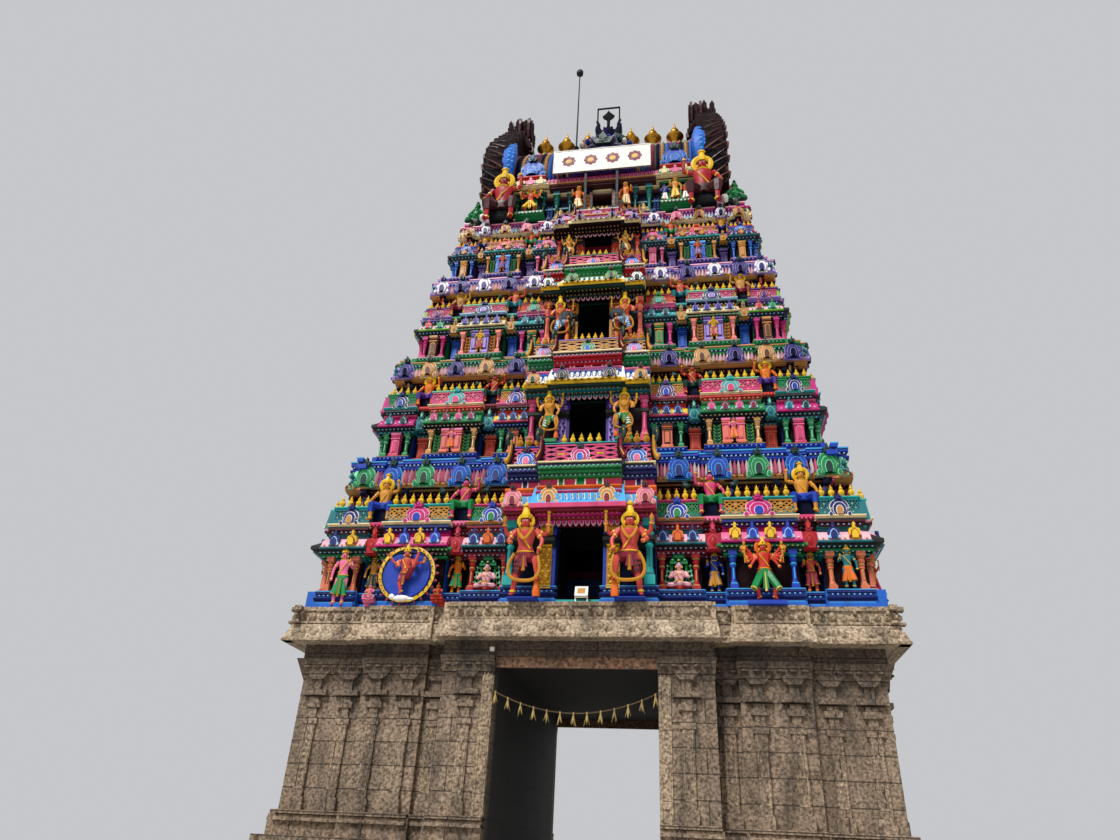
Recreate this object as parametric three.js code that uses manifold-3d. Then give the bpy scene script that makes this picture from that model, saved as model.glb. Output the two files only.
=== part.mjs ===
// A painted temple gateway tower (gopuram) of a granite base and four storeys under a barrel roof.
// Millimetres, +Z up. The origin is on the ground at the centre of the plan, the front looks along -Y
// and +X is to the right of someone who faces the front.
import * as THREE from 'three';
import { mergeVertices } from 'three/addons/utils/BufferGeometryUtils.js';
import Module from 'manifold-3d';

const wasm = await Module();
wasm.setup();

// Driving dimensions

// The plan steps back equally on all four faces, so the half depth is always this much less
// than the half width.
const PLAN_DIFFERENCE = 2400;
// How far a moulding also runs round the flank of its bay, as a share of its reach.
const FLANK_SHARE = 0.3;

const GATE_HALF = 1560;
const GATE_TOP = 4920;
const BASE_TOP = 5950;
const BASE_BAY_HALF = 2600;
const BASE_BAY_REACH = 450;
const BASE_PILASTER = { from: 3050, to: 4350, reach: 130 };
const BASE_SIDE_HALF = 1500;

// Each storey's levels and half widths, from its floor to the top of the slab that closes it.
// The widths are the half widths at the corners of the plan, measured to each moulding's edge.
const STOREYS = [
  {
    floor: 5950, plinth: 6310, soffit: 7100, eave: 7240, eaveTop: 7560, shelf: 7750,
    parapet: 8220, soffit2: 8780, cornice: 8860, shoulder: 9350, slab: 9620,
    plinthW: 5900, faceW: 5660, eaveW: 6000, neckW: 5700, shelfW: 5850, parapetW: 5800,
    upperW: 5120, corniceW: 5500, shoulderW: 5250, slabW: 5400, innerW: 4550,
    doorHalf: 490, doorTop: 7700, bayHalf: 1550, bayReach: 450,
    hoodTop: 8380, balcony: 8820, rail: 9360, terrace: 3420,
  },
  {
    floor: 9620, plinth: 9830, soffit: 10460, eave: 10600, eaveTop: 10900, shelf: 11090,
    parapet: 11540, soffit2: 12060, cornice: 12130, shoulder: 12480, slab: 12700,
    plinthW: 5280, faceW: 5120, eaveW: 5400, neckW: 5150, shelfW: 5280, parapetW: 5230,
    upperW: 4720, corniceW: 5090, shoulderW: 4850, slabW: 4980, innerW: 4200,
    doorHalf: 430, doorTop: 11060, bayHalf: 1420, bayReach: 400,
    hoodTop: 11700, balcony: 12040, rail: 12510, terrace: 2990,
  },
  {
    floor: 12700, plinth: 12950, soffit: 13660, eave: 13800, eaveTop: 14060, shelf: 14220,
    parapet: 14590, soffit2: 15130, cornice: 15200, shoulder: 15550, slab: 15760,
    plinthW: 4870, faceW: 4680, eaveW: 4920, neckW: 4700, shelfW: 4790, parapetW: 4740,
    upperW: 4300, corniceW: 4610, shoulderW: 4400, slabW: 4490, innerW: 3800,
    doorHalf: 410, doorTop: 14350, bayHalf: 1300, bayReach: 350,
    hoodTop: 14820, balcony: 15140, rail: 15600, terrace: 2530,
  },
  {
    floor: 15760, plinth: 16000, soffit: 16620, eave: 16760, eaveTop: 16900, shelf: 16960,
    parapet: 17220, soffit2: 17640, cornice: 17700, shoulder: 18000, slab: 18200,
    plinthW: 4420, faceW: 4260, eaveW: 4460, neckW: 4280, shelfW: 4350, parapetW: 4300,
    upperW: 3900, corniceW: 4170, shoulderW: 4000, slabW: 4090, innerW: 3450,
    doorHalf: 380, doorTop: 16940, bayHalf: 1180, bayReach: 300,
    hoodTop: 17220, balcony: 17350, rail: 17720, terrace: 2030,
  },
];

// Bays of a front wall, as shares of the half width of the wall face: where each one ends, and how
// far it stands out of the wall line.
const FRONT_BAYS = [
  { end: 0.433, reach: 0 },
  { end: 0.525, reach: -300 },
  { end: 0.769, reach: 120 },
  { end: 0.859, reach: -300 },
];
const SIDE_RECESS = 450;
const SIDE_RECESS_REACH = -300;
const SIDE_BAY_REACH = 120;
// The middle of a hood over a doorway: its share of the bay's half width, and how far it steps out.
const HOOD_STEP = { share: 0.55, reach: 130 };

const NECK = {
  floor: 18200, top: 19600, half: 2950, face: 1350, inner: 950, doorHalf: 300,
  porch: 900, porchReach: 150, pier: 2000, pierReach: 110, plinth: 260,
};
const ROOF = { springing: 20100, crown: 22700, ridge: 22850, half: 1440, shell: 300, lip: 1720 };
const GABLE = { inner: 2950, thickness: 380, foot: 18200, top: 24250, reachLow: 850, reachHigh: 450 };
const GABLE_HORN = { low: [-110, -130, 23800], high: [210, 130, 24680] };
const DORMER = { half: 760, front: -1620, back: -1160, crown: 21700 };
const FINIAL_SPACING = 750;
const FINIAL_COUNT = 7;
const EMBLEM = { x: 400, y: -380, foot: 22950, top: 24650, bar: 45 };
const BOARD = { half: 1500, low: 19930, high: 20880, face: 1960, thickness: 40, postX: 480, post: 70 };
const ROD = { x: -1160, foot: 22850, top: 27380, radius: 32 };
const GARLAND = { half: 1600, high: 4300, sag: 400, front: 3800, radius: 6 };
const HORNS = { x: 560, y: -2900, z: 13560, length: 420, mouth: 190, turn: 0.25 };
const LAMP = { x: 90, y: -3880, width: 260 };

// Helpers

// Drops the attributes that split shared corners, joins the corners, and leaves out faces of no area.
function toSolid(geometry) {
  const bare = geometry.clone();
  bare.deleteAttribute('normal');
  bare.deleteAttribute('uv');
  const merged = mergeVertices(bare, 1e-3);
  const index = merged.index.array;
  const faces = [];
  for (let i = 0; i < index.length; i += 3) {
    const [a, b, c] = [index[i], index[i + 1], index[i + 2]];
    if (a !== b && b !== c && c !== a) faces.push(a, b, c);
  }
  const vertProperties = new Float32Array(merged.attributes.position.array);
  const triVerts = new Uint32Array(faces);
  return new wasm.Manifold(new wasm.Mesh({ numProp: 3, vertProperties, triVerts }));
}

function toGeometry(solid) {
  const mesh = solid.getMesh();
  const geometry = new THREE.BufferGeometry();
  geometry.setAttribute('position', new THREE.BufferAttribute(new Float32Array(mesh.vertProperties), 3));
  geometry.setIndex(new THREE.BufferAttribute(new Uint32Array(mesh.triVerts), 1));
  geometry.computeVertexNormals();
  return geometry;
}

function boxBetween(low, high) {
  const size = high.map((value, axis) => value - low[axis]);
  const geometry = new THREE.BoxGeometry(...size);
  geometry.translate(...low.map((value, axis) => value + size[axis] / 2));
  return toSolid(geometry);
}

// A block of masonry with mouldings. The plan is a list of corners, each a function of the ring's
// half width and of how much of the bays' relief it keeps. The rings go up the wall, and two rings
// at one level make a ledge.
function mouldedBlock(plan, rings) {
  const corners = rings.map(([, width, relief]) => plan.map((corner) => corner(width, relief)));
  const key = (x, y) => `${Math.fround(x).toFixed(2)} ${Math.fround(y).toFixed(2)}`;
  const order = new Map(corners[0].map(([x, y], i) => [key(x, y), i]));
  const shape = new THREE.Shape(corners[0].map(([x, y]) => new THREE.Vector2(x, y)));
  const steps = rings.length - 1;
  const geometry = new THREE.ExtrudeGeometry(shape, { depth: steps, steps, bevelEnabled: false });
  const position = geometry.attributes.position;
  for (let i = 0; i < position.count; i += 1) {
    const ring = Math.round(position.getZ(i));
    const [x, y] = corners[ring][order.get(key(position.getX(i), position.getY(i)))];
    position.setXYZ(i, x, y, rings[ring][0]);
  }
  return toSolid(geometry);
}

// Plan corners. A front corner lies on a wall that faces -Y, a side corner on one that faces +X.
const fixed = (x, y) => () => [x, y];
const frontCorner = (side, x, reach, flank, faceW) => (width, relief) => [
  side * (x + flank * FLANK_SHARE * (width - faceW)),
  -(width - PLAN_DIFFERENCE + reach * relief),
];
const sideCorner = (y, reach, flank, faceW) => (width, relief) => [
  width + reach * relief,
  y + flank * FLANK_SHARE * (width - faceW),
];
const angleCorner = (side, front) => (width) => [side * width, front * (width - PLAN_DIFFERENCE)];

// The bays of one half of a front, from the inner end to the corner of the building.
function frontBays(side, faceW) {
  const corners = [];
  FRONT_BAYS.forEach(({ end, reach }, i) => {
    const x = Math.round(end * faceW);
    const next = i + 1 < FRONT_BAYS.length ? FRONT_BAYS[i + 1].reach : 0;
    const flank = next < reach ? 1 : -1;
    corners.push(frontCorner(side, x, reach, flank, faceW), frontCorner(side, x, next, flank, faceW));
  });
  corners.push(angleCorner(side, -1));
  return corners;
}

// A shape drawn in the Y-Z plane, run along X from one place to another.
function alongX(shape, from, to) {
  const options = { depth: to - from, bevelEnabled: false, curveSegments: 10 };
  const geometry = new THREE.ExtrudeGeometry(shape, options);
  const basis = new THREE.Matrix4().makeBasis(
    new THREE.Vector3(0, 1, 0),
    new THREE.Vector3(0, 0, 1),
    new THREE.Vector3(1, 0, 0),
  );
  geometry.applyMatrix4(basis);
  geometry.translate(from, 0, 0);
  return geometry;
}

// A shape drawn in the X-Z plane, run along Y from one place to another.
function alongY(shape, from, to) {
  const options = { depth: to - from, bevelEnabled: false, curveSegments: 10 };
  const geometry = new THREE.ExtrudeGeometry(shape, options);
  geometry.rotateX(Math.PI / 2);
  geometry.translate(0, to, 0);
  return geometry;
}

const MATERIALS = {
  granite: new THREE.MeshStandardMaterial({ color: 0x9a8c7a, roughness: 0.9, metalness: 0 }),
  painted_stucco: new THREE.MeshStandardMaterial({ color: 0x2f6fb7, roughness: 0.6, metalness: 0 }),
  painted_cornice: new THREE.MeshStandardMaterial({ color: 0xc95f8e, roughness: 0.6, metalness: 0 }),
  dark_stucco: new THREE.MeshStandardMaterial({ color: 0x3a1a1e, roughness: 0.7, metalness: 0 }),
  gilded_copper: new THREE.MeshStandardMaterial({ color: 0xc79a35, roughness: 0.35, metalness: 0.9 }),
  painted_steel: new THREE.MeshStandardMaterial({ color: 0x8f979c, roughness: 0.5, metalness: 0.6 }),
  white_board: new THREE.MeshStandardMaterial({ color: 0xe4dfd6, roughness: 0.5, metalness: 0 }),
  dry_fibre: new THREE.MeshStandardMaterial({ color: 0xb49a6a, roughness: 0.9, metalness: 0 }),
};

const tower = new THREE.Group();

function place(name, solid, material, turned = false) {
  const mesh = new THREE.Mesh(toGeometry(solid), MATERIALS[material]);
  mesh.name = name;
  if (turned) mesh.rotation.z = Math.PI;
  tower.add(mesh);
}

// Granite base: two piers beside the gateway, the course of beams over it, and the cornice

const BASE_FACE = 5700;
const BASE_RINGS = [
  [0, 6060, 0.8],
  [350, 6060, 0.8],
  [350, 5960, 0.9],
  [880, 5960, 0.9],
  [980, 6020, 0.9],
  [1200, 6020, 0.9],
  [1300, 5880, 1],
  [1480, 5880, 1],
  [1480, 6000, 1],
  [1700, 6000, 1],
  [1700, 5820, 1],
  [2050, 5820, 1],
  [2100, BASE_FACE, 1],
  [4500, BASE_FACE, 1],
  [GATE_TOP, 5860, 1],
];

function basePlan(side, front) {
  const { from, to, reach } = BASE_PILASTER;
  const bays = [
    frontCorner(side, BASE_BAY_HALF, BASE_BAY_REACH, 1, BASE_FACE),
    frontCorner(side, BASE_BAY_HALF, 0, 1, BASE_FACE),
    frontCorner(side, from, 0, -1, BASE_FACE),
    frontCorner(side, from, reach, -1, BASE_FACE),
    frontCorner(side, to, reach, 1, BASE_FACE),
    frontCorner(side, to, 0, 1, BASE_FACE),
    angleCorner(side, -1),
  ];
  return front < 0 ? bays : bays.map((corner) => mirrorY(corner)).reverse();
}
const mirrorY = (corner) => (width, relief) => {
  const [x, y] = corner(width, relief);
  return [x, -y];
};
const mirrorX = (corner) => (width, relief) => {
  const [x, y] = corner(width, relief);
  return [-x, y];
};

function sideBays(half, faceW) {
  return [
    sideCorner(-half, 0, -1, faceW),
    sideCorner(-half, BASE_PILASTER.reach, -1, faceW),
    sideCorner(half, BASE_PILASTER.reach, 1, faceW),
    sideCorner(half, 0, 1, faceW),
  ];
}

// A pier has one peg for the garland, on its front as it stands in the tower.
function basePier(pegFace) {
  const plan = [
    frontCorner(1, GATE_HALF, BASE_BAY_REACH, 0, BASE_FACE),
    ...basePlan(1, -1),
    ...sideBays(BASE_SIDE_HALF, BASE_FACE),
    ...basePlan(1, 1),
    mirrorY(frontCorner(1, GATE_HALF, BASE_BAY_REACH, 0, BASE_FACE)),
  ];
  const pier = mouldedBlock(plan, BASE_RINGS);
  const face = BASE_FACE - PLAN_DIFFERENCE + BASE_BAY_REACH;
  const { half, high, front } = GARLAND;
  const reach = [pegFace * (face - 50), pegFace * (front + 15)].sort((a, b) => a - b);
  const peg = boxBetween([half + 3, reach[0], high - 15], [half + 28, reach[1], high + 15]);
  return pier.add(peg);
}

// The whole plan of the base or of a slab, from its right half.
function wholePlan(right) {
  return [...right, ...right.map((corner) => mirrorX(corner)).reverse()];
}

const basePlanRight = [...basePlan(1, -1), ...sideBays(BASE_SIDE_HALF, BASE_FACE), ...basePlan(1, 1)];
const LINTEL_RINGS = [
  [GATE_TOP, 5760, 1],
  [5220, 5760, 1],
];
const BASE_CORNICE_RINGS = [
  [5220, 6140, 0.9],
  [5280, 6140, 0.9],
  [5580, 6020, 0.9],
  [5580, 5960, 0.8],
  [BASE_TOP, 5960, 0.8],
];
place('base_right_pier', basePier(-1), 'granite');
place('base_left_pier', basePier(1), 'granite', true);
place('base_lintel_course', mouldedBlock(wholePlan(basePlanRight), LINTEL_RINGS), 'granite');
place('base_cornice', mouldedBlock(wholePlan(basePlanRight), BASE_CORNICE_RINGS), 'granite');

// Storeys: each has two wall pieces on the front and on the back beside its doorways, a wall at each
// end, and a cornice slab that carries the hoods and balconies over the doorways

const LIP = 70;

function wallRings(s) {
  return [
    [s.floor, s.plinthW, 0.6],
    [s.plinth, s.plinthW, 0.6],
    [s.plinth, s.faceW, 1],
    [s.soffit, s.faceW, 1],
    [s.eave, s.eaveW, 0.7],
    [s.eave + LIP, s.eaveW, 0.7],
    [s.eaveTop, s.neckW, 0.6],
    [s.shelf, s.neckW, 0.6],
    [s.shelf, s.shelfW, 0.6],
    [s.parapet, s.parapetW, 0.6],
    [s.parapet, s.upperW, 0.2],
    [s.soffit2, s.upperW, 0.2],
    [s.cornice, s.corniceW, 0.3],
    [s.cornice + LIP, s.corniceW, 0.3],
    [s.shoulder, s.shoulderW, 0.3],
  ];
}

function frontWall(s, side) {
  const inner = s.innerW - PLAN_DIFFERENCE;
  const plan = [
    fixed(side * s.doorHalf, -inner),
    frontCorner(side, s.doorHalf, s.bayReach, 0, s.faceW),
    frontCorner(side, s.bayHalf, s.bayReach, 0, s.faceW),
    frontCorner(side, s.bayHalf, 0, 0, s.faceW),
    ...frontBays(side, s.faceW),
    (width) => [side * width, -inner],
  ];
  const reach = 7000;
  const overDoor = side > 0
    ? boxBetween([0, -reach, s.doorTop], [s.bayHalf, 0, s.shoulder + 100])
    : boxBetween([-s.bayHalf, -reach, s.doorTop], [0, 0, s.shoulder + 100]);
  return mouldedBlock(plan, wallRings(s)).subtract(overDoor);
}

function sideWall(s) {
  const inner = s.innerW - PLAN_DIFFERENCE;
  const bay = inner - SIDE_RECESS;
  const half = [
    (width, relief) => [width + SIDE_RECESS_REACH * relief, -inner],
    sideCorner(-bay, SIDE_RECESS_REACH, -1, s.faceW),
    sideCorner(-bay, SIDE_BAY_REACH, -1, s.faceW),
  ];
  const plan = [
    fixed(s.innerW, -inner),
    ...half,
    ...half.map((corner) => mirrorY(corner)).reverse(),
    fixed(s.innerW, inner),
  ];
  return mouldedBlock(plan, wallRings(s));
}

// A hood over a doorway, the parapet on it and the terrace behind that. The middle steps forward.
function hood(s) {
  const inner = s.innerW - PLAN_DIFFERENCE;
  const step = Math.round(s.bayHalf * HOOD_STEP.share);
  const right = [
    frontCorner(1, step, s.bayReach + HOOD_STEP.reach, 1, s.faceW),
    frontCorner(1, step, s.bayReach, 1, s.faceW),
    frontCorner(1, s.bayHalf, s.bayReach, 0, s.faceW),
    fixed(s.bayHalf, -inner),
  ];
  const terraceW = s.terrace + PLAN_DIFFERENCE - s.bayReach;
  return mouldedBlock(wholePlan(right), [
    [s.doorTop, s.faceW + 60, 1],
    [s.doorTop + 110, s.faceW + 480, 1],
    [s.doorTop + 200, s.faceW + 480, 1],
    [s.hoodTop, s.faceW + 260, 1],
    [s.hoodTop, s.faceW + 40, 1],
    [(s.hoodTop + s.balcony) / 2, s.faceW + 90, 1],
    [s.balcony, s.faceW + 330, 1],
    [s.balcony + 90, s.faceW + 330, 1],
    [s.balcony + 90, s.faceW + 200, 1],
    [s.rail, s.faceW + 200, 1],
    [s.rail, terraceW, 1],
    [s.slab, terraceW, 1],
  ]);
}

function halfTurn(solid) {
  const geometry = toGeometry(solid);
  geometry.rotateZ(Math.PI);
  return toSolid(geometry);
}

function corniceSlab(s) {
  const inner = s.innerW - PLAN_DIFFERENCE;
  const sideHalf = inner - SIDE_RECESS;
  const front = frontBays(1, s.faceW);
  const right = [
    ...front,
    sideCorner(-inner, 0, 0, s.faceW),
    sideCorner(-inner, SIDE_RECESS_REACH, 0, s.faceW),
    sideCorner(-sideHalf, SIDE_RECESS_REACH, -1, s.faceW),
    sideCorner(-sideHalf, SIDE_BAY_REACH, -1, s.faceW),
    sideCorner(sideHalf, SIDE_BAY_REACH, 1, s.faceW),
    sideCorner(sideHalf, SIDE_RECESS_REACH, 1, s.faceW),
    sideCorner(inner, SIDE_RECESS_REACH, 0, s.faceW),
    sideCorner(inner, 0, 0, s.faceW),
    ...front.map((corner) => mirrorY(corner)).reverse(),
  ];
  const rings = [
    [s.shoulder, s.slabW - 60, 0.3],
    [s.shoulder + 90, s.slabW, 0.3],
    [s.slab, s.slabW, 0.3],
  ];
  const frontHood = hood(s);
  return mouldedBlock(wholePlan(right), rings).add(frontHood).add(halfTurn(frontHood));
}

STOREYS.forEach((s, i) => {
  const name = `storey${i + 1}`;
  const frontRight = frontWall(s, 1);
  const frontLeft = frontWall(s, -1);
  place(`${name}_front_right_wall`, frontRight, 'painted_stucco');
  place(`${name}_front_left_wall`, frontLeft, 'painted_stucco');
  place(`${name}_back_left_wall`, frontRight, 'painted_stucco', true);
  place(`${name}_back_right_wall`, frontLeft, 'painted_stucco', true);
  place(`${name}_right_wall`, sideWall(s), 'painted_stucco');
  place(`${name}_left_wall`, sideWall(s), 'painted_stucco', true);
  place(`${name}_cornice`, corniceSlab(s), 'painted_cornice');
});

// Neck under the roof: two wall pieces on each face beside its small doorways

function neckWall(side) {
  const at = (x, reach) => (width) => [side * x, -(width + reach)];
  const plan = [
    fixed(side * NECK.doorHalf, -NECK.inner),
    at(NECK.doorHalf, NECK.porchReach),
    at(NECK.porch, NECK.porchReach),
    at(NECK.porch, 0),
    at(NECK.pier, 0),
    at(NECK.pier, NECK.pierReach),
    at(NECK.half, NECK.pierReach),
    fixed(side * NECK.half, -NECK.inner),
  ];
  const rings = [
    [NECK.floor, NECK.face + 90],
    [NECK.floor + NECK.plinth, NECK.face + 90],
    [NECK.floor + NECK.plinth, NECK.face],
    [NECK.top - 200, NECK.face],
    [NECK.top, NECK.face + 80],
  ];
  return mouldedBlock(plan, rings);
}
const neckRight = neckWall(1);
const neckLeft = neckWall(-1);
place('neck_front_right_wall', neckRight, 'dark_stucco');
place('neck_front_left_wall', neckLeft, 'dark_stucco');
place('neck_back_left_wall', neckRight, 'dark_stucco', true);
place('neck_back_right_wall', neckLeft, 'dark_stucco', true);

// Roof: the eaves slab, the barrel vault with a dormer on each face, and the end gables

function roofEaves() {
  const plan = [
    (width) => [-NECK.half, -width],
    (width) => [NECK.half, -width],
    (width) => [NECK.half, width],
    (width) => [-NECK.half, width],
  ];
  const rings = [
    [NECK.top, 1480],
    [NECK.top + 60, ROOF.lip],
    [NECK.top + 150, ROOF.lip],
    [NECK.top + 330, 1610],
    [ROOF.springing, 1500],
  ];
  return mouldedBlock(plan, rings);
}
place('roof_eaves', roofEaves(), 'painted_cornice');

// One side of a pointed barrel: it swells above the springing and closes in to the crown.
function barrelSide(path, half, springing, crown) {
  const rise = crown - springing;
  path.bezierCurveTo(half * 1.16, springing + rise * 0.3, half * 1.02, springing + rise * 0.62, 0, crown);
  path.bezierCurveTo(
    -half * 1.02, springing + rise * 0.62,
    -half * 1.16, springing + rise * 0.3,
    -half, springing,
  );
}

function roofVault() {
  const { half } = ROOF;
  const shape = new THREE.Shape();
  shape.moveTo(half, ROOF.springing);
  barrelSide(shape, half, ROOF.springing, ROOF.crown);
  const innerHalf = half - ROOF.shell;
  shape.lineTo(-innerHalf, ROOF.springing);
  const innerCrown = ROOF.crown - ROOF.shell * 1.3;
  const rise = innerCrown - ROOF.springing;
  shape.bezierCurveTo(
    -innerHalf * 1.16, ROOF.springing + rise * 0.3,
    -innerHalf * 1.02, ROOF.springing + rise * 0.62,
    0, innerCrown,
  );
  shape.bezierCurveTo(
    innerHalf * 1.02, ROOF.springing + rise * 0.62,
    innerHalf * 1.16, ROOF.springing + rise * 0.3,
    innerHalf, ROOF.springing,
  );
  const shell = toSolid(alongX(shape, -NECK.half, NECK.half));
  const ridge = boxBetween([-NECK.half, -190, ROOF.crown - 160], [NECK.half, 190, ROOF.ridge]);
  const dormerShape = new THREE.Shape();
  const dormerRise = DORMER.crown - ROOF.springing;
  const swell = [DORMER.half * 1.5, ROOF.springing + dormerRise * 0.4];
  const shoulder = [DORMER.half * 1.1, ROOF.springing + dormerRise * 0.78];
  dormerShape.moveTo(-DORMER.half, ROOF.springing);
  dormerShape.lineTo(DORMER.half, ROOF.springing);
  dormerShape.bezierCurveTo(...swell, ...shoulder, 0, DORMER.crown);
  dormerShape.bezierCurveTo(-shoulder[0], shoulder[1], -swell[0], swell[1], -DORMER.half, ROOF.springing);
  const dormer = toSolid(alongY(dormerShape, DORMER.front, DORMER.back));
  const pedestal = boxBetween([-460, -480, ROOF.crown - 500], [460, -210, EMBLEM.foot]);
  return shell.add(ridge).add(dormer).add(halfTurn(dormer)).add(pedestal);
}
place('roof_vault', roofVault(), 'painted_stucco');

// The gables close the ends. Their rim of flame leaves reaches further out low down than at the top.
function gable() {
  const flames = 9;
  const shape = new THREE.Shape();
  const outline = (t) => {
    const half = 1500 + 420 * Math.sin(Math.PI * Math.min(1, t * 1.35)) * (1 - t * 0.35);
    return [half * (1 - t ** 3), GABLE.foot + 1100 + t * 4700];
  };
  const edge = [];
  for (let i = 0; i < flames; i += 1) {
    const [y0, z0] = outline(i / flames);
    const [y1, z1] = outline((i + 0.75) / flames);
    edge.push([y0, z0], [y1 + 190, z1 + 150]);
  }
  shape.moveTo(-NECK.face, GABLE.foot);
  shape.lineTo(NECK.face, GABLE.foot);
  edge.forEach(([y, z]) => shape.lineTo(y, z));
  shape.lineTo(0, GABLE.top);
  edge.reverse().forEach(([y, z]) => shape.lineTo(-y, z));
  const plate = toSolid(alongX(shape, GABLE.inner, GABLE.inner + GABLE.thickness));
  const niche = new THREE.Shape();
  niche.moveTo(-900, 20300);
  niche.lineTo(900, 20300);
  niche.bezierCurveTo(1350, 21300, 1000, 22200, 0, 22900);
  niche.bezierCurveTo(-1000, 22200, -1350, 21300, -900, 20300);
  const face = GABLE.inner + GABLE.thickness;
  const rim = alongX(shape, face - 40, GABLE.inner + GABLE.reachLow);
  const position = rim.attributes.position;
  for (let i = 0; i < position.count; i += 1) {
    const high = (position.getZ(i) - GABLE.foot) / (GABLE.top - GABLE.foot);
    const reach = GABLE.reachLow - (GABLE.reachLow - GABLE.reachHigh) * high ** 4;
    if (position.getX(i) > face) position.setX(i, GABLE.inner + reach);
  }
  const hollow = toSolid(alongX(niche, face, GABLE.inner + 2 * GABLE.reachLow));
  const lower = boxBetween([face, -2500, 18000], [4500, 2500, 19300]);
  const [[hornIn, hornFront, hornLow], [hornOut, hornBack, hornHigh]] = [GABLE_HORN.low, GABLE_HORN.high];
  const horn = boxBetween(
    [GABLE.inner + hornIn, hornFront, hornLow],
    [GABLE.inner + hornOut, hornBack, hornHigh],
  );
  return plate.add(toSolid(rim).subtract(hollow).subtract(lower)).add(horn);
}
place('right_gable', gable(), 'dark_stucco');
place('left_gable', gable(), 'dark_stucco', true);

// Finials: seven turned copper pots along the ridge

function finial() {
  const profile = [
    [0, 0], [190, 0], [190, 60], [110, 110], [130, 200], [250, 330], [270, 430], [210, 540],
    [110, 600], [170, 640], [120, 760], [40, 900], [55, 950], [0, 1220],
  ];
  const geometry = new THREE.LatheGeometry(profile.map(([r, z]) => new THREE.Vector2(r, z)), 10);
  geometry.rotateX(Math.PI / 2);
  return toSolid(geometry);
}
for (let i = 0; i < FINIAL_COUNT; i += 1) {
  place(`finial_${i + 1}`, finial(), 'gilded_copper');
  const mesh = tower.children.at(-1);
  mesh.position.set((i - (FINIAL_COUNT - 1) / 2) * FINIAL_SPACING, 0, ROOF.ridge);
}

// Frame over the ridge: a square steel loop with a leaf shaped plate hung in it

function ridgeFrame() {
  const { x, y, foot, top, bar } = EMBLEM;
  const shape = new THREE.Shape();
  shape.moveTo(-x, foot);
  shape.lineTo(x, foot);
  shape.lineTo(x, top);
  shape.lineTo(-x, top);
  shape.closePath();
  const gap = new THREE.Path();
  gap.moveTo(-x + bar, foot + bar);
  gap.lineTo(x - bar, foot + bar);
  gap.lineTo(x - bar, top - bar);
  gap.lineTo(-x + bar, top - bar);
  gap.closePath();
  shape.holes.push(gap);
  const loop = toSolid(alongY(shape, y - bar / 2, y + bar / 2));
  const leaf = new THREE.Shape();
  leaf.moveTo(0, top - 190);
  leaf.lineTo(210, top - 430);
  leaf.lineTo(60, top - 560);
  leaf.lineTo(35, foot + 20);
  leaf.lineTo(-35, foot + 20);
  leaf.lineTo(-60, top - 560);
  leaf.lineTo(-210, top - 430);
  leaf.closePath();
  return loop.add(toSolid(alongY(leaf, y - 15, y + 15)));
}
place('ridge_frame', ridgeFrame(), 'painted_steel');

// White board on two posts, which a rail joins behind it

const boardBack = -(BOARD.face - BOARD.thickness);
function boardPosts() {
  const top = BOARD.high - 100;
  const posts = [-1, 1].map((side) => boxBetween(
    [side * BOARD.postX - BOARD.post / 2, boardBack, NECK.floor],
    [side * BOARD.postX + BOARD.post / 2, boardBack + BOARD.post, top],
  ));
  const railHeight = 60;
  const rail = boxBetween(
    [-BOARD.half + 100, boardBack, top - railHeight],
    [BOARD.half - 100, boardBack + BOARD.post, top],
  );
  return posts[0].add(posts[1]).add(rail);
}
place('board_posts', boardPosts(), 'painted_steel');
const boardPlate = boxBetween([-BOARD.half, -BOARD.face, BOARD.low], [BOARD.half, boardBack, BOARD.high]);
place('board', boardPlate, 'white_board');

// Rod with a small round lamp at its tip

function rod() {
  const { radius, foot, top } = ROD;
  const height = top - foot;
  const profile = [
    [0, 0], [110, 0], [110, 25], [radius, 40], [radius * 0.6, height - 330], [60, height - 310],
    [125, height - 230], [130, height - 110], [70, height - 20], [0, height],
  ];
  const geometry = new THREE.LatheGeometry(profile.map(([r, z]) => new THREE.Vector2(r, z)), 12);
  geometry.rotateX(Math.PI / 2);
  return toSolid(geometry);
}
place('ridge_rod', rod(), 'painted_steel');
tower.children.at(-1).position.set(ROD.x, 0, ROD.foot);

// Two horn loudspeakers on brackets in front of the third doorway

function horn(side) {
  const { x, y, z, length, mouth, turn } = HORNS;
  const profile = [
    [0, 0], [85, 0], [85, 110], [40, 130], [55, length * 0.6], [mouth, length], [mouth - 25, length],
    [30, length * 0.62], [0, length * 0.6],
  ];
  const bell = new THREE.LatheGeometry(profile.map(([r, h]) => new THREE.Vector2(r, h)), 12);
  bell.rotateX(Math.PI);
  bell.rotateZ(side * turn);
  bell.translate(side * x, y + length / 2, z);
  const back = -(STOREYS[2].faceW - PLAN_DIFFERENCE + STOREYS[2].bayReach) - 0.3;
  const arm = boxBetween([side * x - 20, y + length / 2 - 40, z - 30], [side * x + 20, back, z + 30]);
  return toSolid(bell).add(arm);
}
place('loudspeaker_right', horn(1), 'painted_steel');
place('loudspeaker_left', horn(-1), 'painted_steel');

// Floodlight on the sill of the first doorway

function floodlight() {
  const { x, y, width } = LAMP;
  const half = width / 2;
  const foot = BASE_TOP;
  const body = new THREE.BoxGeometry(width, 80, 220);
  body.rotateX(-0.35);
  body.translate(x, y, foot + 210);
  const plate = boxBetween([x - half, y - 40, foot], [x + half, y + 60, foot + 12]);
  const arms = [-1, 1].map((side) => boxBetween(
    [x + side * (half - 12) - 12, y - 20, foot],
    [x + side * (half - 12) + 12, y + 20, foot + 210],
  ));
  return toSolid(body).add(plate).add(arms[0]).add(arms[1]);
}
place('floodlight', floodlight(), 'white_board');

// Garland string between the door frame's faces

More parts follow.
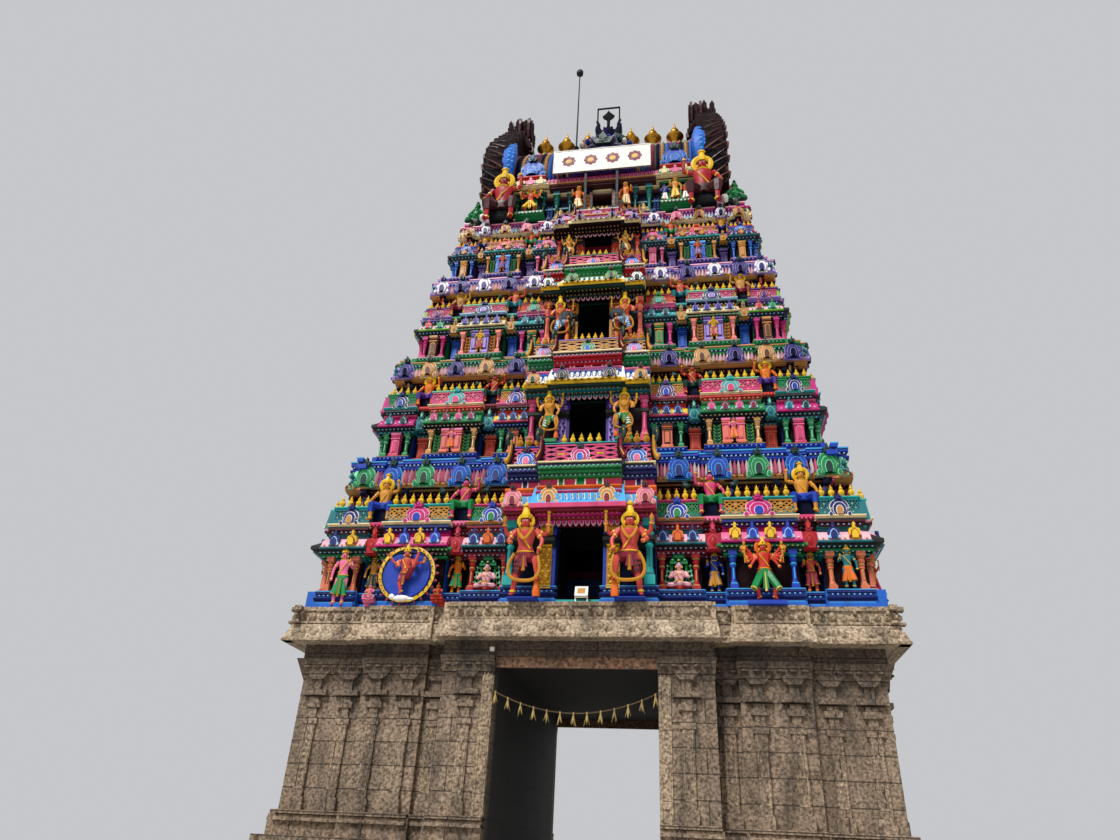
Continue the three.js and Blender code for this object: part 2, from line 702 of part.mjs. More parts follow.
function garlandPoint(share, drop = 0) {
  return new THREE.Vector3(
    share * GARLAND.half,
    -GARLAND.front,
    GARLAND.high - GARLAND.sag * (1 - share * share) - drop,
  );
}

function garlandTube(radius, reach = 1, drop = 0, sides = 8) {
  const spans = 12;
  const points = [];
  for (let i = 0; i <= spans; i += 1) points.push(garlandPoint(reach * ((2 * i) / spans - 1), drop));
  const section = new THREE.Shape();
  section.absarc(0, 0, radius, 0, Math.PI * 2);
  const tube = new THREE.ExtrudeGeometry(section, {
    steps: 36, curveSegments: sides / 2, extrudePath: new THREE.CatmullRomCurve3(points),
  });
  return toSolid(tube);
}
place('garland_string', garlandTube(GARLAND.radius), 'dry_fibre');

// Bundles of dry leaves tied round the string, strung together by a thin thread under it

const BUNDLES = {
  count: 13, reach: 0.945, play: 0.3, knot: 15, drop: 34, thread: 2, below: 9.5,
  blades: 4, length: 215, width: 44, thickness: 5, apart: 4.5, tilt: 0.1, curl: 30,
};

function leafBlade(length) {
  const { width, thickness, curl, drop, tilt, apart } = BUNDLES;
  const stalk = 4;
  const shape = new THREE.Shape();
  shape.moveTo(-stalk, 0);
  shape.quadraticCurveTo(-width * 0.8, -length * 0.45, 0, -length);
  shape.quadraticCurveTo(width * 0.8, -length * 0.45, stalk, 0);
  const options = { depth: thickness, bevelEnabled: false, curveSegments: 2 };
  const blade = new THREE.ExtrudeGeometry(shape, options);
  const position = blade.attributes.position;
  for (let i = 0; i < position.count; i += 1) {
    const share = -position.getY(i) / length;
    position.setZ(i, position.getZ(i) + curl * share * share);
  }
  blade.rotateX(Math.PI / 2);
  blade.rotateX(-tilt);
  blade.translate(0, -apart, 4 - drop);
  return blade;
}

function leafBundle(i) {
  const { count, reach, knot, drop, blades, length } = BUNDLES;
  const profile = [[0, -drop - 10], [knot - 1, -drop], [knot, 10], [0, 19]];
  const knotShape = new THREE.LatheGeometry(profile.map(([r, z]) => new THREE.Vector2(r, z)), 6);
  knotShape.rotateX(Math.PI / 2);
  let bundle = toSolid(knotShape);
  for (let k = 0; k < blades; k += 1) {
    const blade = leafBlade(length * (1 - 0.12 * ((i + 2 * k) % 3)));
    blade.rotateZ(((k + 0.3 * i) * 2 * Math.PI) / blades);
    bundle = bundle.add(toSolid(blade));
  }
  return bundle.translate(garlandPoint(((2 * i) / (count - 1) - 1) * reach).toArray());
}

function leafBundles() {
  const { count, reach, play, thread, below } = BUNDLES;
  let row = garlandTube(thread, reach, below, 4);
  for (let i = 0; i < count; i += 1) row = row.add(leafBundle(i));
  return row.subtract(garlandTube(GARLAND.radius + play));
}
place('leaf_bundles', leafBundles(), 'dry_fibre');

export default tower;
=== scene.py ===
"""Painted temple gateway tower: granite base, four stucco storeys, barrel roof between two gables."""

import math
from collections import namedtuple

import bpy
import numpy as np
from mathutils import Matrix, Vector


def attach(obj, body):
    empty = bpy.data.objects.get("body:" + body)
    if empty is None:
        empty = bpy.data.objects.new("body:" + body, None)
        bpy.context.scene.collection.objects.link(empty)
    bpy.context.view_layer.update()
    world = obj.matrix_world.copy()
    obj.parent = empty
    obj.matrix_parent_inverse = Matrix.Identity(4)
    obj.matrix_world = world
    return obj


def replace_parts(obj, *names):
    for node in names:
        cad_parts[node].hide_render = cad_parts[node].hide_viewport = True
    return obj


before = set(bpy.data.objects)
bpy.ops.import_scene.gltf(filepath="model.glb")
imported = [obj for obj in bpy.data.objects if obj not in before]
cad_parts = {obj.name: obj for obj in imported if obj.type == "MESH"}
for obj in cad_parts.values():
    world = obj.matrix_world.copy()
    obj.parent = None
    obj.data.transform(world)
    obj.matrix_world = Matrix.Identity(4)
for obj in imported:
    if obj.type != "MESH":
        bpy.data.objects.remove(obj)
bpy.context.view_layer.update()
scene = bpy.context.scene
scene.view_settings.view_transform = "Standard"

# Camera at the photograph's place

CAMERA_PLACE = Vector((2.26, -18.92, 1.5))
YAW = math.radians(10.48)
PITCH = math.radians(29.34)
ROLL = math.radians(2.96)
PHOTO_WIDTH_PX = 1120
FOCAL_PX = 784.7
SENSOR = 36

ahead = Vector((-math.sin(YAW) * math.cos(PITCH), math.cos(YAW) * math.cos(PITCH), math.sin(PITCH)))
level = Vector((math.cos(YAW), math.sin(YAW), 0))
upright = level.cross(ahead)
to_right = math.cos(ROLL) * level + math.sin(ROLL) * upright
to_top = math.cos(ROLL) * upright - math.sin(ROLL) * level
camera = bpy.data.objects.new("camera", bpy.data.cameras.new("camera"))
camera.data.sensor_width = SENSOR
camera.data.lens = FOCAL_PX * SENSOR / PHOTO_WIDTH_PX
camera.data.clip_end = 400
scene.collection.objects.link(camera)
camera.matrix_world = Matrix.Translation(CAMERA_PLACE) @ Matrix(
    (to_right, to_top, -ahead)
).transposed().to_4x4()
scene.camera = camera

# Small helpers for materials


def linear(hex_colour):
    """An sRGB hex colour as the linear numbers that a socket takes."""
    channels = [int(hex_colour[i:i + 2], 16) / 255 for i in (1, 3, 5)]
    return [c / 12.92 if c <= 0.04045 else ((c + 0.055) / 1.055) ** 2.4 for c in channels] + [1.0]


def mixed(first, second, share):
    """A hex colour part of the way from one to another."""
    pairs = [(int(first[i:i + 2], 16), int(second[i:i + 2], 16)) for i in (1, 3, 5)]
    return "#" + "".join(f"{round(a + (b - a) * share):02x}" for a, b in pairs)


def add_node(material, kind, settings=None, inputs=None):
    """Adds a node, sets its properties, and sets or links its inputs."""
    tree = material.node_tree
    node = tree.nodes.new(kind)
    for name, value in (settings or {}).items():
        setattr(node, name, value)
    for name, value in (inputs or {}).items():
        if isinstance(value, bpy.types.NodeSocket):
            tree.links.new(value, node.inputs[name])
        else:
            node.inputs[name].default_value = value
    return node


def new_material(name):
    material = bpy.data.materials.new(name)
    material.use_nodes = True
    material.node_tree.nodes.clear()
    return material


def finish_material(material, surface):
    add_node(material, "ShaderNodeOutputMaterial", inputs={"Surface": surface.outputs[0]})
    return material


def place_on_object(material):
    return add_node(material, "ShaderNodeTexCoord").outputs["Object"]


def noise(material, where, grain_mm, detail=4, stretch=(1, 1, 1)):
    """Noise whose patches are about grain_mm across."""
    scale = [1000 / grain_mm * s for s in stretch]
    mapping = add_node(material, "ShaderNodeMapping", inputs={"Vector": where, "Scale": scale})
    inputs = {"Vector": mapping.outputs[0], "Scale": 1.0, "Detail": detail}
    return add_node(material, "ShaderNodeTexNoise", inputs=inputs).outputs["Fac"]


def between(low, high, start=0.0, end=1.0):
    """What a Map Range node needs to turn low to high into start to end."""
    return {"From Min": low, "From Max": high, "To Min": start, "To Max": end}


def patches(material, where, grain, low, high, start=0.0, end=1.0):
    """Soft patches of a value from start to end. The grain is their size in mm, detail and stretch."""
    value = noise(material, where, *grain)
    return add_node(
        material, "ShaderNodeMapRange", inputs={"Value": value, **between(low, high, start, end)}
    ).outputs[0]


# A Mix node's settings for colours. Its inputs 0, 6 and 7 are the share, the colour under and the
# colour over it.
BLEND = {"data_type": "RGBA"}
DARKEN = {"data_type": "RGBA", "blend_type": "MULTIPLY"}


def plaster_bump(material, where, strength=0.25):
    """The trowelled unevenness of plaster and the fine sand in it, as heights."""
    inputs = {0: noise(material, where, 14, 2), 1: 0.35, 2: noise(material, where, 90, 3)}
    heights = add_node(material, "ShaderNodeMath", {"operation": "MULTIPLY_ADD"}, inputs).outputs[0]
    inputs = {"Strength": strength, "Distance": 0.012, "Height": heights}
    return add_node(material, "ShaderNodeBump", inputs=inputs).outputs[0]


RAIN_GRIME = "#100c0b"
SUN_BLEACHED = "#ada69e"


def weathered(material, where, colour, dirt=0.35, bleach=0.03):
    """Paint with sun-bleached patches, and grime that rain draws down the walls in streaks."""
    pale = patches(material, where, (700, 3), 0.35, 0.7, 0.0, bleach)
    inputs = {0: pale, 6: colour, 7: linear(SUN_BLEACHED)}
    bleached = add_node(material, "ShaderNodeMix", BLEND, inputs).outputs[2]
    streaks = patches(material, where, (260, 5, (1, 1, 0.16)), 0.48, 0.72, 0.0, dirt)
    inputs = {0: streaks, 6: bleached, 7: linear(RAIN_GRIME)}
    return add_node(material, "ShaderNodeMix", BLEND, inputs).outputs[2]


# Dark paints are this rough, and duller than the others
DULL_GLOSS = 0.75


def enamel(name, colour, gloss=0.42, dirt=0.3):
    """Synthetic enamel brushed on lime stucco. The paint evens out the plaster without hiding it, and
    gives the eye strong colour with a soft sheen, paler where the sun bleaches it."""
    material = new_material(f"enamel_paint_{name}")
    where = place_on_object(material)
    dull = gloss >= DULL_GLOSS
    inputs = {
        "Base Color": weathered(material, where, linear(colour), dirt, 0.0 if dull else 0.03),
        "Roughness": patches(material, where, (120, 3), 0.3, 0.7, gloss - 0.08, gloss + 0.16),
        "IOR": 1.2 if dull else 1.36, "Normal": plaster_bump(material, where)
    }
    return finish_material(material, add_node(material, "ShaderNodeBsdfPrincipled", inputs=inputs))


PAINT_COLOURS = {
    "navy": "#0c1c66", "deep_navy": "#070b26", "cobalt": "#103aa6", "blue": "#145fc0", "sky": "#3aa0de",
    "pale_blue": "#9fcdec", "teal": "#076a72", "turquoise": "#12a29e", "bottle": "#07302a",
    "green": "#0b8042", "leaf": "#6db436", "mint": "#7fcca4", "yellow": "#e6b81c", "lemon": "#f0d45c",
    "gold": "#bd8018", "orange": "#dd6612", "vermilion": "#c92f1c", "red": "#a6121e", "crimson": "#7c0c26",
    "maroon": "#400812", "dark_maroon": "#1a0509", "brown": "#5c2c16", "tan": "#bd8446", "cream": "#e9d3a0",
    "white": "#efece4", "pink": "#e06c94", "pale_pink": "#eeb0be", "rose": "#cc3c6c", "magenta": "#bb1672",
    "salmon": "#da7052", "lilac": "#9a80ca", "purple": "#452580", "flesh": "#c8463c", "honey": "#d08a30",
    "black": "#0c0b10"
}
DULL_PAINTS = ("black", "dark_maroon", "deep_navy")
PAINT = {
    name: enamel(name, colour, DULL_GLOSS if name in DULL_PAINTS else 0.42)
    for name, colour in PAINT_COLOURS.items()
}


def banded_stucco(name, bands, dirt=0.35):
    """Enamel on the plain stucco of a storey. The painters change colour at each moulding, so the
    colour goes by height: bands are (height in metres where a colour starts, colour name)."""
    material = new_material(f"enamel_paint_on_stucco_{name}")
    where = place_on_object(material)
    low, high = bands[0][0], bands[-1][0] + 0.5
    parts = add_node(material, "ShaderNodeSeparateXYZ", inputs={0: where})
    inputs = {"Value": parts.outputs[2], **between(low, high)}
    height = add_node(material, "ShaderNodeMapRange", inputs=inputs)
    ramp = add_node(material, "ShaderNodeValToRGB", inputs={"Fac": height.outputs[0]})
    ramp.color_ramp.interpolation = "CONSTANT"
    stops = ramp.color_ramp.elements
    while len(stops) < len(bands):
        stops.new(1.0)
    for stop, (start, paint) in zip(stops, bands):
        stop.position = (start - low) / (high - low)
        stop.color = linear(PAINT_COLOURS[paint])
    inputs = {
        "Base Color": weathered(material, where, ramp.outputs[0], dirt), "Roughness": 0.6, "IOR": 1.36,
        "Normal": plaster_bump(material, where, 0.35)
    }
    return finish_material(material, add_node(material, "ShaderNodeBsdfPrincipled", inputs=inputs))


# The passage is painted black as shade: the distances from the tower's middle, across and along the way
# through, at which the stone has no painted shade and at which it is black
PASSAGE_SHADE_LIMITS = ((0, 1.75, 1.58), (1, 3.72, 3.35))
PASSAGE_SHADE_BLACK = "#0a0807"
# Crystals and warm clouds of the granite: a colour mixed in, and its share
STONE_TINTS = (("#2c241d", 0.58), ("#f6ecda", 0.34), ("#8a6a48", 0.55))


def passage_shaded(material, where, stone):
    """Stone painted black as shade inside the passage: inside it both ways across, the shares multiply."""
    parts = add_node(material, "ShaderNodeSeparateXYZ", inputs={0: where})
    inside = 1.0
    for axis, clean, black in PASSAGE_SHADE_LIMITS:
        distance = add_node(material, "ShaderNodeMath", {"operation": "ABSOLUTE"}, {0: parts.outputs[axis]})
        inputs = {"Value": distance.outputs[0], **between(black, clean, 0.98, 0.0)}
        share = add_node(material, "ShaderNodeMapRange", inputs=inputs).outputs[0]
        inside = add_node(
            material, "ShaderNodeMath", {"operation": "MULTIPLY"}, {0: share, 1: inside}
        ).outputs[0]
    inputs = {0: inside, 6: stone, 7: linear(PASSAGE_SHADE_BLACK)}
    return add_node(material, "ShaderNodeMix", BLEND, inputs).outputs[2]


# The blocks of the base, in metres, and the heights over which painted shade darkens the stone under the
# cornice
BLOCK_LENGTH = 1.35
BLOCK_HEIGHT = 0.42
JOINT_WIDTH = 0.012
CORNICE_SHADE_RISE = (3.7, 4.95)
RAIN_STAIN = "#1d1814"
# The colour of the painted shade under the cornice
PAINTED_CORNICE_SHADE = "#1c130d"


def granite(name, colour, stain, joints):
    """Local granite, dressed with a point chisel. Grey-brown with dark and pale crystals, rough and
    dull, with thin dark joints between long blocks and dark rain streaks. On the walls, painted shade
    darkens the stone towards the cornice and makes it black inside the passage."""
    material = new_material(f"chiselled_granite_{name}")
    where = place_on_object(material)
    dark, pale, warm = [linear(mixed(colour, *tint)) for tint in STONE_TINTS]
    crystals = patches(material, where, (55, 6), 0.34, 0.66)
    stone = add_node(material, "ShaderNodeMix", BLEND, {0: crystals, 6: dark, 7: pale}).outputs[2]
    cloud = patches(material, where, (1300, 4), 0.3, 0.72)
    warmer = add_node(material, "ShaderNodeMix", DARKEN, {0: cloud, 6: stone, 7: warm}).outputs[2]
    stone = add_node(material, "ShaderNodeMix", BLEND, {0: 0.35, 6: stone, 7: warmer}).outputs[2]
    streaks = patches(material, where, (420, 5, (1, 1, 0.22)), 0.46, 0.7, 0.0, stain)
    inputs = {0: streaks, 6: stone, 7: linear(RAIN_STAIN)}
    stone = add_node(material, "ShaderNodeMix", BLEND, inputs).outputs[2]
    pits = noise(material, where, 30, 5)
    if joints:
        parts = add_node(material, "ShaderNodeSeparateXYZ", inputs={0: where})
        # Painted shade: the wall grows darker towards the cornice above it.
        inputs = {"Value": parts.outputs[2], **between(*CORNICE_SHADE_RISE, 0.0, 0.66)}
        cornice_shade_share = add_node(material, "ShaderNodeMapRange", inputs=inputs).outputs[0]
        inputs = {0: cornice_shade_share, 6: stone, 7: linear(PAINTED_CORNICE_SHADE)}
        # Painted shade: the stone turns black inside the passage.
        stone = passage_shaded(material, where, add_node(material, "ShaderNodeMix", BLEND, inputs).outputs[2])
        # Across a wall, x + y runs along the front and along the sides alike.
        inputs = {0: parts.outputs[0], 1: parts.outputs[1]}
        along = add_node(material, "ShaderNodeMath", {"operation": "ADD"}, inputs).outputs[0]
        flat = add_node(material, "ShaderNodeCombineXYZ", inputs={0: along, 1: parts.outputs[2]})
        inputs = {
            "Vector": flat.outputs[0], "Scale": 1.0, "Mortar Size": JOINT_WIDTH, "Mortar Smooth": 0.3,
            "Brick Width": BLOCK_LENGTH, "Row Height": BLOCK_HEIGHT, "Color1": linear("#e4e4e4"),
            "Color2": linear("#ffffff"), "Mortar": linear("#6f6961")
        }
        blocks = add_node(material, "ShaderNodeTexBrick", {"offset": 0.5}, inputs)
        inputs = {0: 0.85, 6: stone, 7: blocks.outputs[0]}
        stone = add_node(material, "ShaderNodeMix", DARKEN, inputs).outputs[2]
        inputs = {0: blocks.outputs["Fac"], 1: -1.6, 2: pits}
        pits = add_node(material, "ShaderNodeMath", {"operation": "MULTIPLY_ADD"}, inputs).outputs[0]
    bump = add_node(material, "ShaderNodeBump", inputs={"Strength": 0.8, "Distance": 0.02, "Height": pits})
    inputs = {"Base Color": stone, "Roughness": 0.85, "IOR": 1.55, "Normal": bump.outputs[0]}
    return finish_material(material, add_node(material, "ShaderNodeBsdfPrincipled", inputs=inputs))


def metal(name, colour, rough, dull, dull_share):
    """Metal with a dull skin where weather has worked on it."""
    material = new_material(name)
    where = place_on_object(material)
    worn = patches(material, where, (160, 4), 0.45, 0.68, 0.0, dull_share)
    skin = {0: worn, 6: linear(colour), 7: linear(dull)}
    inputs = {
        "Base Color": add_node(material, "ShaderNodeMix", BLEND, skin).outputs[2], "Metallic": 1.0,
        "Roughness": patches(material, where, (60, 3), 0.3, 0.7, rough - 0.08, rough + 0.2)
    }
    return finish_material(material, add_node(material, "ShaderNodeBsdfPrincipled", inputs=inputs))


GRANITE_WALL = granite("wall", "#937556", 0.7, True)
GRANITE_CORNICE = granite("cornice", "#c4a782", 0.6, False)
PAINT["carved_granite"] = granite("carving", "#ad906c", 0.6, False)
PAINT["gilded_copper"] = metal("gilded_copper_hammered", "#c08a2c", 0.34, "#5d3c1c", 0.7)
PAINT["steel"] = metal("galvanised_steel_weathered", "#7f8a8c", 0.5, "#3c4242", 0.6)
PAINT["dark_steel"] = metal("steel_bar_rusted_dark", "#3a3b3d", 0.55, "#2a1c16", 0.7)
PAINT["wall_granite"] = GRANITE_WALL
PAINT["sheet_white"] = enamel("board_white_on_sheet_steel", "#e6e0d6", 0.35, 0.18)
PAINT["dry_leaf"] = enamel("dried_mango_leaf", "#a9905c", 0.8, 0.4)
PAINT["dry_cord"] = enamel("jute_cord", "#54463a", 0.9, 0.4)
PAINT["red_granite"] = granite("red_strip", "#8a5330", 0.6, False)

# Modelling helpers. Every part of a pattern is drawn facing -Y, with the wall at y = 0.


def deselect():
    bpy.ops.object.select_all(action="DESELECT")


def only(piece):
    deselect()
    piece.select_set(True)
    bpy.context.view_layer.objects.active = piece
    return piece


def settle(piece, role):
    """Puts a part's place into its mesh, closes its seams, turns its faces out and names its paint."""
    only(piece)
    bpy.ops.object.transform_apply(location=True, rotation=True, scale=True)
    bpy.ops.object.mode_set(mode="EDIT")
    bpy.ops.mesh.select_all(action="SELECT")
    bpy.ops.mesh.remove_doubles(threshold=0.0005)
    bpy.ops.mesh.normals_make_consistent(inside=False)
    bpy.ops.object.mode_set(mode="OBJECT")
    piece.data.materials.clear()
    piece.data.materials.append(bpy.data.materials.get(role) or bpy.data.materials.new(role))
    return piece


def turned(profile, sides, role="body", flat=1.0, centre=(0, 0)):
    """A turned part: a circle drawn up ring by ring through (height, radius) pairs."""
    height, radius = profile[0]
    deselect()
    bpy.ops.mesh.primitive_circle_add(
        vertices=sides, radius=radius, fill_type="NGON", location=(0, 0, height)
    )
    piece = bpy.context.object
    bpy.ops.object.mode_set(mode="EDIT")
    for next_height, next_radius in profile[1:]:
        step = (0, 0, next_height - height)
        bpy.ops.mesh.extrude_region_move(TRANSFORM_OT_translate={"value": step})
        ratio = next_radius / radius
        bpy.ops.transform.resize(value=(ratio, ratio, 1), center_override=(0, 0, next_height))
        height, radius = next_height, next_radius
    bpy.ops.object.mode_set(mode="OBJECT")
    only(piece)
    bpy.ops.object.transform_apply()
    piece.scale = (1, flat, 1)
    piece.location = (*centre, 0)
    return settle(piece, role)


def block(low, high, role="body", edge=0.0, segments=1):
    """A block between two corners, with its edges taken off."""
    centre = [(a + b) / 2 for a, b in zip(low, high)]
    size = [b - a for a, b in zip(low, high)]
    deselect()
    bpy.ops.mesh.primitive_cube_add(size=1, location=centre)
    piece = bpy.context.object
    piece.scale = size
    bpy.ops.object.transform_apply()
    if edge:
        bpy.ops.object.mode_set(mode="EDIT")
        bpy.ops.mesh.bevel(offset=edge, segments=segments)
        bpy.ops.object.mode_set(mode="OBJECT")
    return settle(piece, role)


def slab(half, deep, low, high, role="body", edge=0.0, segments=1):
    """A block with its back on the wall and its middle at x = 0."""
    return block((-half, -deep, low), (half, 0, high), role, edge, segments)


def ball(centre, size, role="body", detail=1):
    deselect()
    bpy.ops.mesh.primitive_ico_sphere_add(subdivisions=detail, radius=0.5, location=centre)
    piece = bpy.context.object
    piece.scale = size
    return settle(piece, role)


def head_ball(centre, size, role):
    deselect()
    bpy.ops.mesh.primitive_uv_sphere_add(segments=8, ring_count=6, radius=0.5, location=centre)
    piece = bpy.context.object
    piece.scale = size
    return settle(piece, role)


def ring(centre, radius, thickness, role, turn=(0, 0, 0), sides=8):
    deselect()
    bpy.ops.mesh.primitive_torus_add(
        location=centre, rotation=turn, major_radius=radius, minor_radius=thickness, major_segments=sides,
        minor_segments=3
    )
    return settle(bpy.context.object, role)


def from_curve(curve):
    piece = bpy.data.objects.new("curve", curve)
    scene.collection.objects.link(piece)
    return piece


def to_mesh(piece):
    only(piece)
    bpy.ops.object.convert(target="MESH")
    return bpy.context.object


def tube(points, radii, role="body", sides=6, smooth=True):
    """A tapering rod along points; radii is one number or one for each point."""
    curve = bpy.data.curves.new("tube", "CURVE")
    curve.dimensions = "3D"
    curve.bevel_depth = 1.0
    curve.bevel_resolution = (sides - 4) // 2
    curve.use_fill_caps = True
    curve.resolution_u = 2
    spline = curve.splines.new("NURBS" if smooth else "POLY")
    spline.points.add(len(points) - 1)
    widths = radii if isinstance(radii, (list, tuple)) else [radii] * len(points)
    for knot, point, width in zip(spline.points, points, widths):
        knot.co = (*point, 1)
        knot.radius = width
    if smooth:
        spline.order_u = min(3, len(points))
        spline.use_endpoint_u = True
    return settle(to_mesh(from_curve(curve)), role)


def rod(points, radii, role="body", sides=4):
    """A tube whose corners stay sharp."""
    return tube(points, radii, role, sides, False)


def plate(outline, back, front, role="body"):
    """A flat plate cut to an outline of (x, z) points, between two distances out from the wall."""
    curve = bpy.data.curves.new("plate", "CURVE")
    curve.dimensions = "2D"
    curve.fill_mode = "BOTH"
    curve.extrude = (front - back) / 2
    spline = curve.splines.new("POLY")
    spline.points.add(len(outline) - 1)
    for knot, (x, z) in zip(spline.points, outline):
        knot.co = (x, z, 0, 1)
    spline.use_cyclic_u = True
    piece = from_curve(curve)
    piece.rotation_euler = (math.pi / 2, 0, 0)
    piece.location = (0, -(back + front) / 2, 0)
    return settle(to_mesh(piece), role)


def moved(piece, offset=(0, 0, 0), turn=(0, 0, 0), size=(1, 1, 1)):
    piece.location = offset
    piece.rotation_euler = turn
    piece.scale = size
    only(piece)
    bpy.ops.object.transform_apply()
    return piece


def mirrored(outline):
    """A whole outline from its right half, which runs up from the foot to the top."""
    return list(outline) + [(-x, z) for x, z in reversed(outline) if x > 1e-6]


Shape = namedtuple("Shape", "points corners counts paints")


def read_shape(mesh):
    """A mesh's points, face corners, face sizes and paints, as arrays."""
    points = np.empty(len(mesh.vertices) * 3)
    mesh.vertices.foreach_get("co", points)
    corners = np.empty(len(mesh.loops), dtype=np.int64)
    mesh.loops.foreach_get("vertex_index", corners)
    counts = np.empty(len(mesh.polygons), dtype=np.int64)
    mesh.polygons.foreach_get("loop_total", counts)
    paints = np.empty(len(mesh.polygons), dtype=np.int64)
    mesh.polygons.foreach_get("material_index", paints)
    return Shape(points.reshape(-1, 3), corners, counts, paints)


class Pattern:
    """A finished ornament, held as arrays so that it can be laid many times. Its paints are roles
    that each place fills with real ones. On the sides and the back it may have fewer faces."""

    def __init__(self, parts, light=1.0):
        deselect()
        for part in parts:
            part.select_set(True)
        bpy.context.view_layer.objects.active = parts[0]
        if len(parts) > 1:
            bpy.ops.object.join()
        piece = bpy.context.view_layer.objects.active
        self.roles = [material.name for material in piece.data.materials]
        self.shape = self.light = read_shape(piece.data)
        if light < 1:
            bpy.ops.object.modifier_add(type="DECIMATE")
            piece.modifiers[-1].ratio = light
            bpy.ops.object.modifier_apply(modifier=piece.modifiers[-1].name)
            self.light = read_shape(piece.data)
        bpy.data.objects.remove(piece)


class Piece:
    """One object of the tower, gathered from patterns laid at their places and cast as one mesh."""

    def __init__(self, name, slot):
        self.name = name
        self.slot = slot
        self.laid = []

    def lay(self, pattern, place, **paints):
        inward = place.to_3x3().col[1]
        faces_front = inward.y > 0.5 * inward.length
        shape = pattern.shape if faces_front else pattern.light
        self.laid.append((shape, place, [paints.get(role, role) for role in pattern.roles]))

    def cast(self):
        points, corners, counts, indexes, names = [], [], [], [], []
        start = 0
        for shape, place, chosen in self.laid:
            turn = np.array(place.to_3x3())
            points.append(shape.points @ turn.T + np.array(place.translation))
            loops = shape.corners
            if np.linalg.det(turn) < 0:
                ends = np.cumsum(shape.counts)
                loops = np.concatenate([loops[e - n:e][::-1] for e, n in zip(ends, shape.counts)])
            corners.append(loops + start)
            counts.append(shape.counts)
            for paint in chosen:
                if paint not in names:
                    names.append(paint)
            table = np.array([names.index(paint) for paint in chosen])
            indexes.append(table[shape.paints])
            start += len(shape.points)
        points, corners = np.concatenate(points), np.concatenate(corners)
        counts, indexes = np.concatenate(counts), np.concatenate(indexes)
        mesh = bpy.data.meshes.new(self.name)
        mesh.vertices.add(len(points))
        mesh.vertices.foreach_set("co", points.astype(np.float32).ravel())
        mesh.loops.add(len(corners))
        mesh.loops.foreach_set("vertex_index", corners.astype(np.int32))
        mesh.polygons.add(len(counts))
        mesh.polygons.foreach_set("loop_start", (np.cumsum(counts) - counts).astype(np.int32))
        mesh.polygons.foreach_set("material_index", indexes.astype(np.int32))
        mesh.update(calc_edges=True)
        for paint in names:
            mesh.materials.append(PAINT[paint])
        piece = bpy.data.objects.new(self.name, mesh)
        scene.collection.objects.link(piece)
        only(piece)
        bpy.ops.object.shade_smooth_by_angle(angle=math.radians(40))
        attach(piece, "root")
        return piece


# Patterns for mouldings: a bar is 1 m long, 1 m deep and 1 m high before it is laid


def profile_bar(profile):
    """A bar whose end is a (depth, height) profile, drawn as a plate and turned to run along X."""
    piece = plate([(-depth, height) for depth, height in profile], -0.5, 0.5)
    return Pattern([moved(piece, turn=(0, 0, math.radians(90)))])


def flat_bar():
    return profile_bar([(0, 0), (0.94, 0), (1, 0.1), (1, 0.9), (0.94, 1), (0, 1)])


def round_bar():
    arc = [(0.55 + 0.45 * math.cos(a), 0.5 + 0.5 * math.sin(a)) for a in np.linspace(-1.5, 1.5, 5)]
    return profile_bar([(0, 0)] + arc + [(0, 1)])


def kapota_bar():
    """The bellied roof over a row of bays, with a drip lip under it."""
    lip = [(0, 0), (0.92, 0), (1, 0.08), (1, 0.2), (0.92, 0.27)]
    belly = [(0.86, 0.5), (0.66, 0.76), (0.36, 0.93), (0, 1)]
    return profile_bar(lip + belly)


def step_bar():
    return profile_bar(
        [(0, 0), (0.6, 0), (0.6, 0.34), (0.84, 0.38), (0.86, 0.66), (1, 0.7), (1, 1), (0, 1)]
    )


STUD_TURN = (math.radians(90), math.radians(45), 0)


def dentil():
    """A small tapering block."""
    return Pattern([moved(turned([(0, 0.7), (1, 0.54)], 4), (0, 0, 0.5), STUD_TURN)])


def bead():
    return Pattern([ball((0, 0, 0), (1, 1, 1))])


def petal():
    """A hanging lotus petal with a pale border."""
    outline = mirrored([(0.0, 0.0), (0.36, 0.34), (0.46, 1.0)])
    inner = mirrored([(0.0, 0.22), (0.24, 0.46), (0.3, 1.0)])
    return Pattern([plate(outline, 0, 0.6, "rim"), plate(inner, 0.5, 1.0)])


def flute():
    """One rib of a ribbed roof: it leans back with the roof and swells at its foot."""
    spine = [(0, -0.95, 0.0), (0, -1.0, 0.25), (0, -0.75, 0.65), (0, -0.2, 1.0)]
    return Pattern([rod(spine, [0.4, 0.46, 0.44, 0.36])])


def lattice(cells, studs):
    """A trellis panel: slanting bars both ways on a backing, with a stud at each crossing."""
    parts = [slab(0.5, 0.5, 0, 1, "back")]
    for i in range(-cells, cells):
        start = (i + 0.5) / cells
        for way in (-1, 1):
            low, high = max(-0.5, start - 0.5), min(0.5, start + 0.5)
            if high - low < 0.05:
                continue
            foot, top = low - (start - 0.5), high - (start - 0.5)
            ends = [(way * low, -0.62, foot), (way * high, -0.62, top)]
            parts.append(rod(ends, 0.034, "bar"))
    for i in range(1, cells):
        for j in range(1, cells):
            if studs and (i + j) % 2:
                middle = (i / cells - 0.5, -0.7, j / cells)
                parts.append(
                    moved(
                        turned([(-0.5, 0.7), (0.5, 0.35)], 4, "stud"), middle, STUD_TURN, (0.09, 0.09, 0.2)
                    )
                )
    parts.append(block((-0.5, -0.8, 0), (0.5, -0.3, 0.07), "bar"))
    parts.append(block((-0.5, -0.8, 0.93), (0.5, -0.3, 1), "bar"))
    return Pattern(parts)


# Patterns for arches and finials


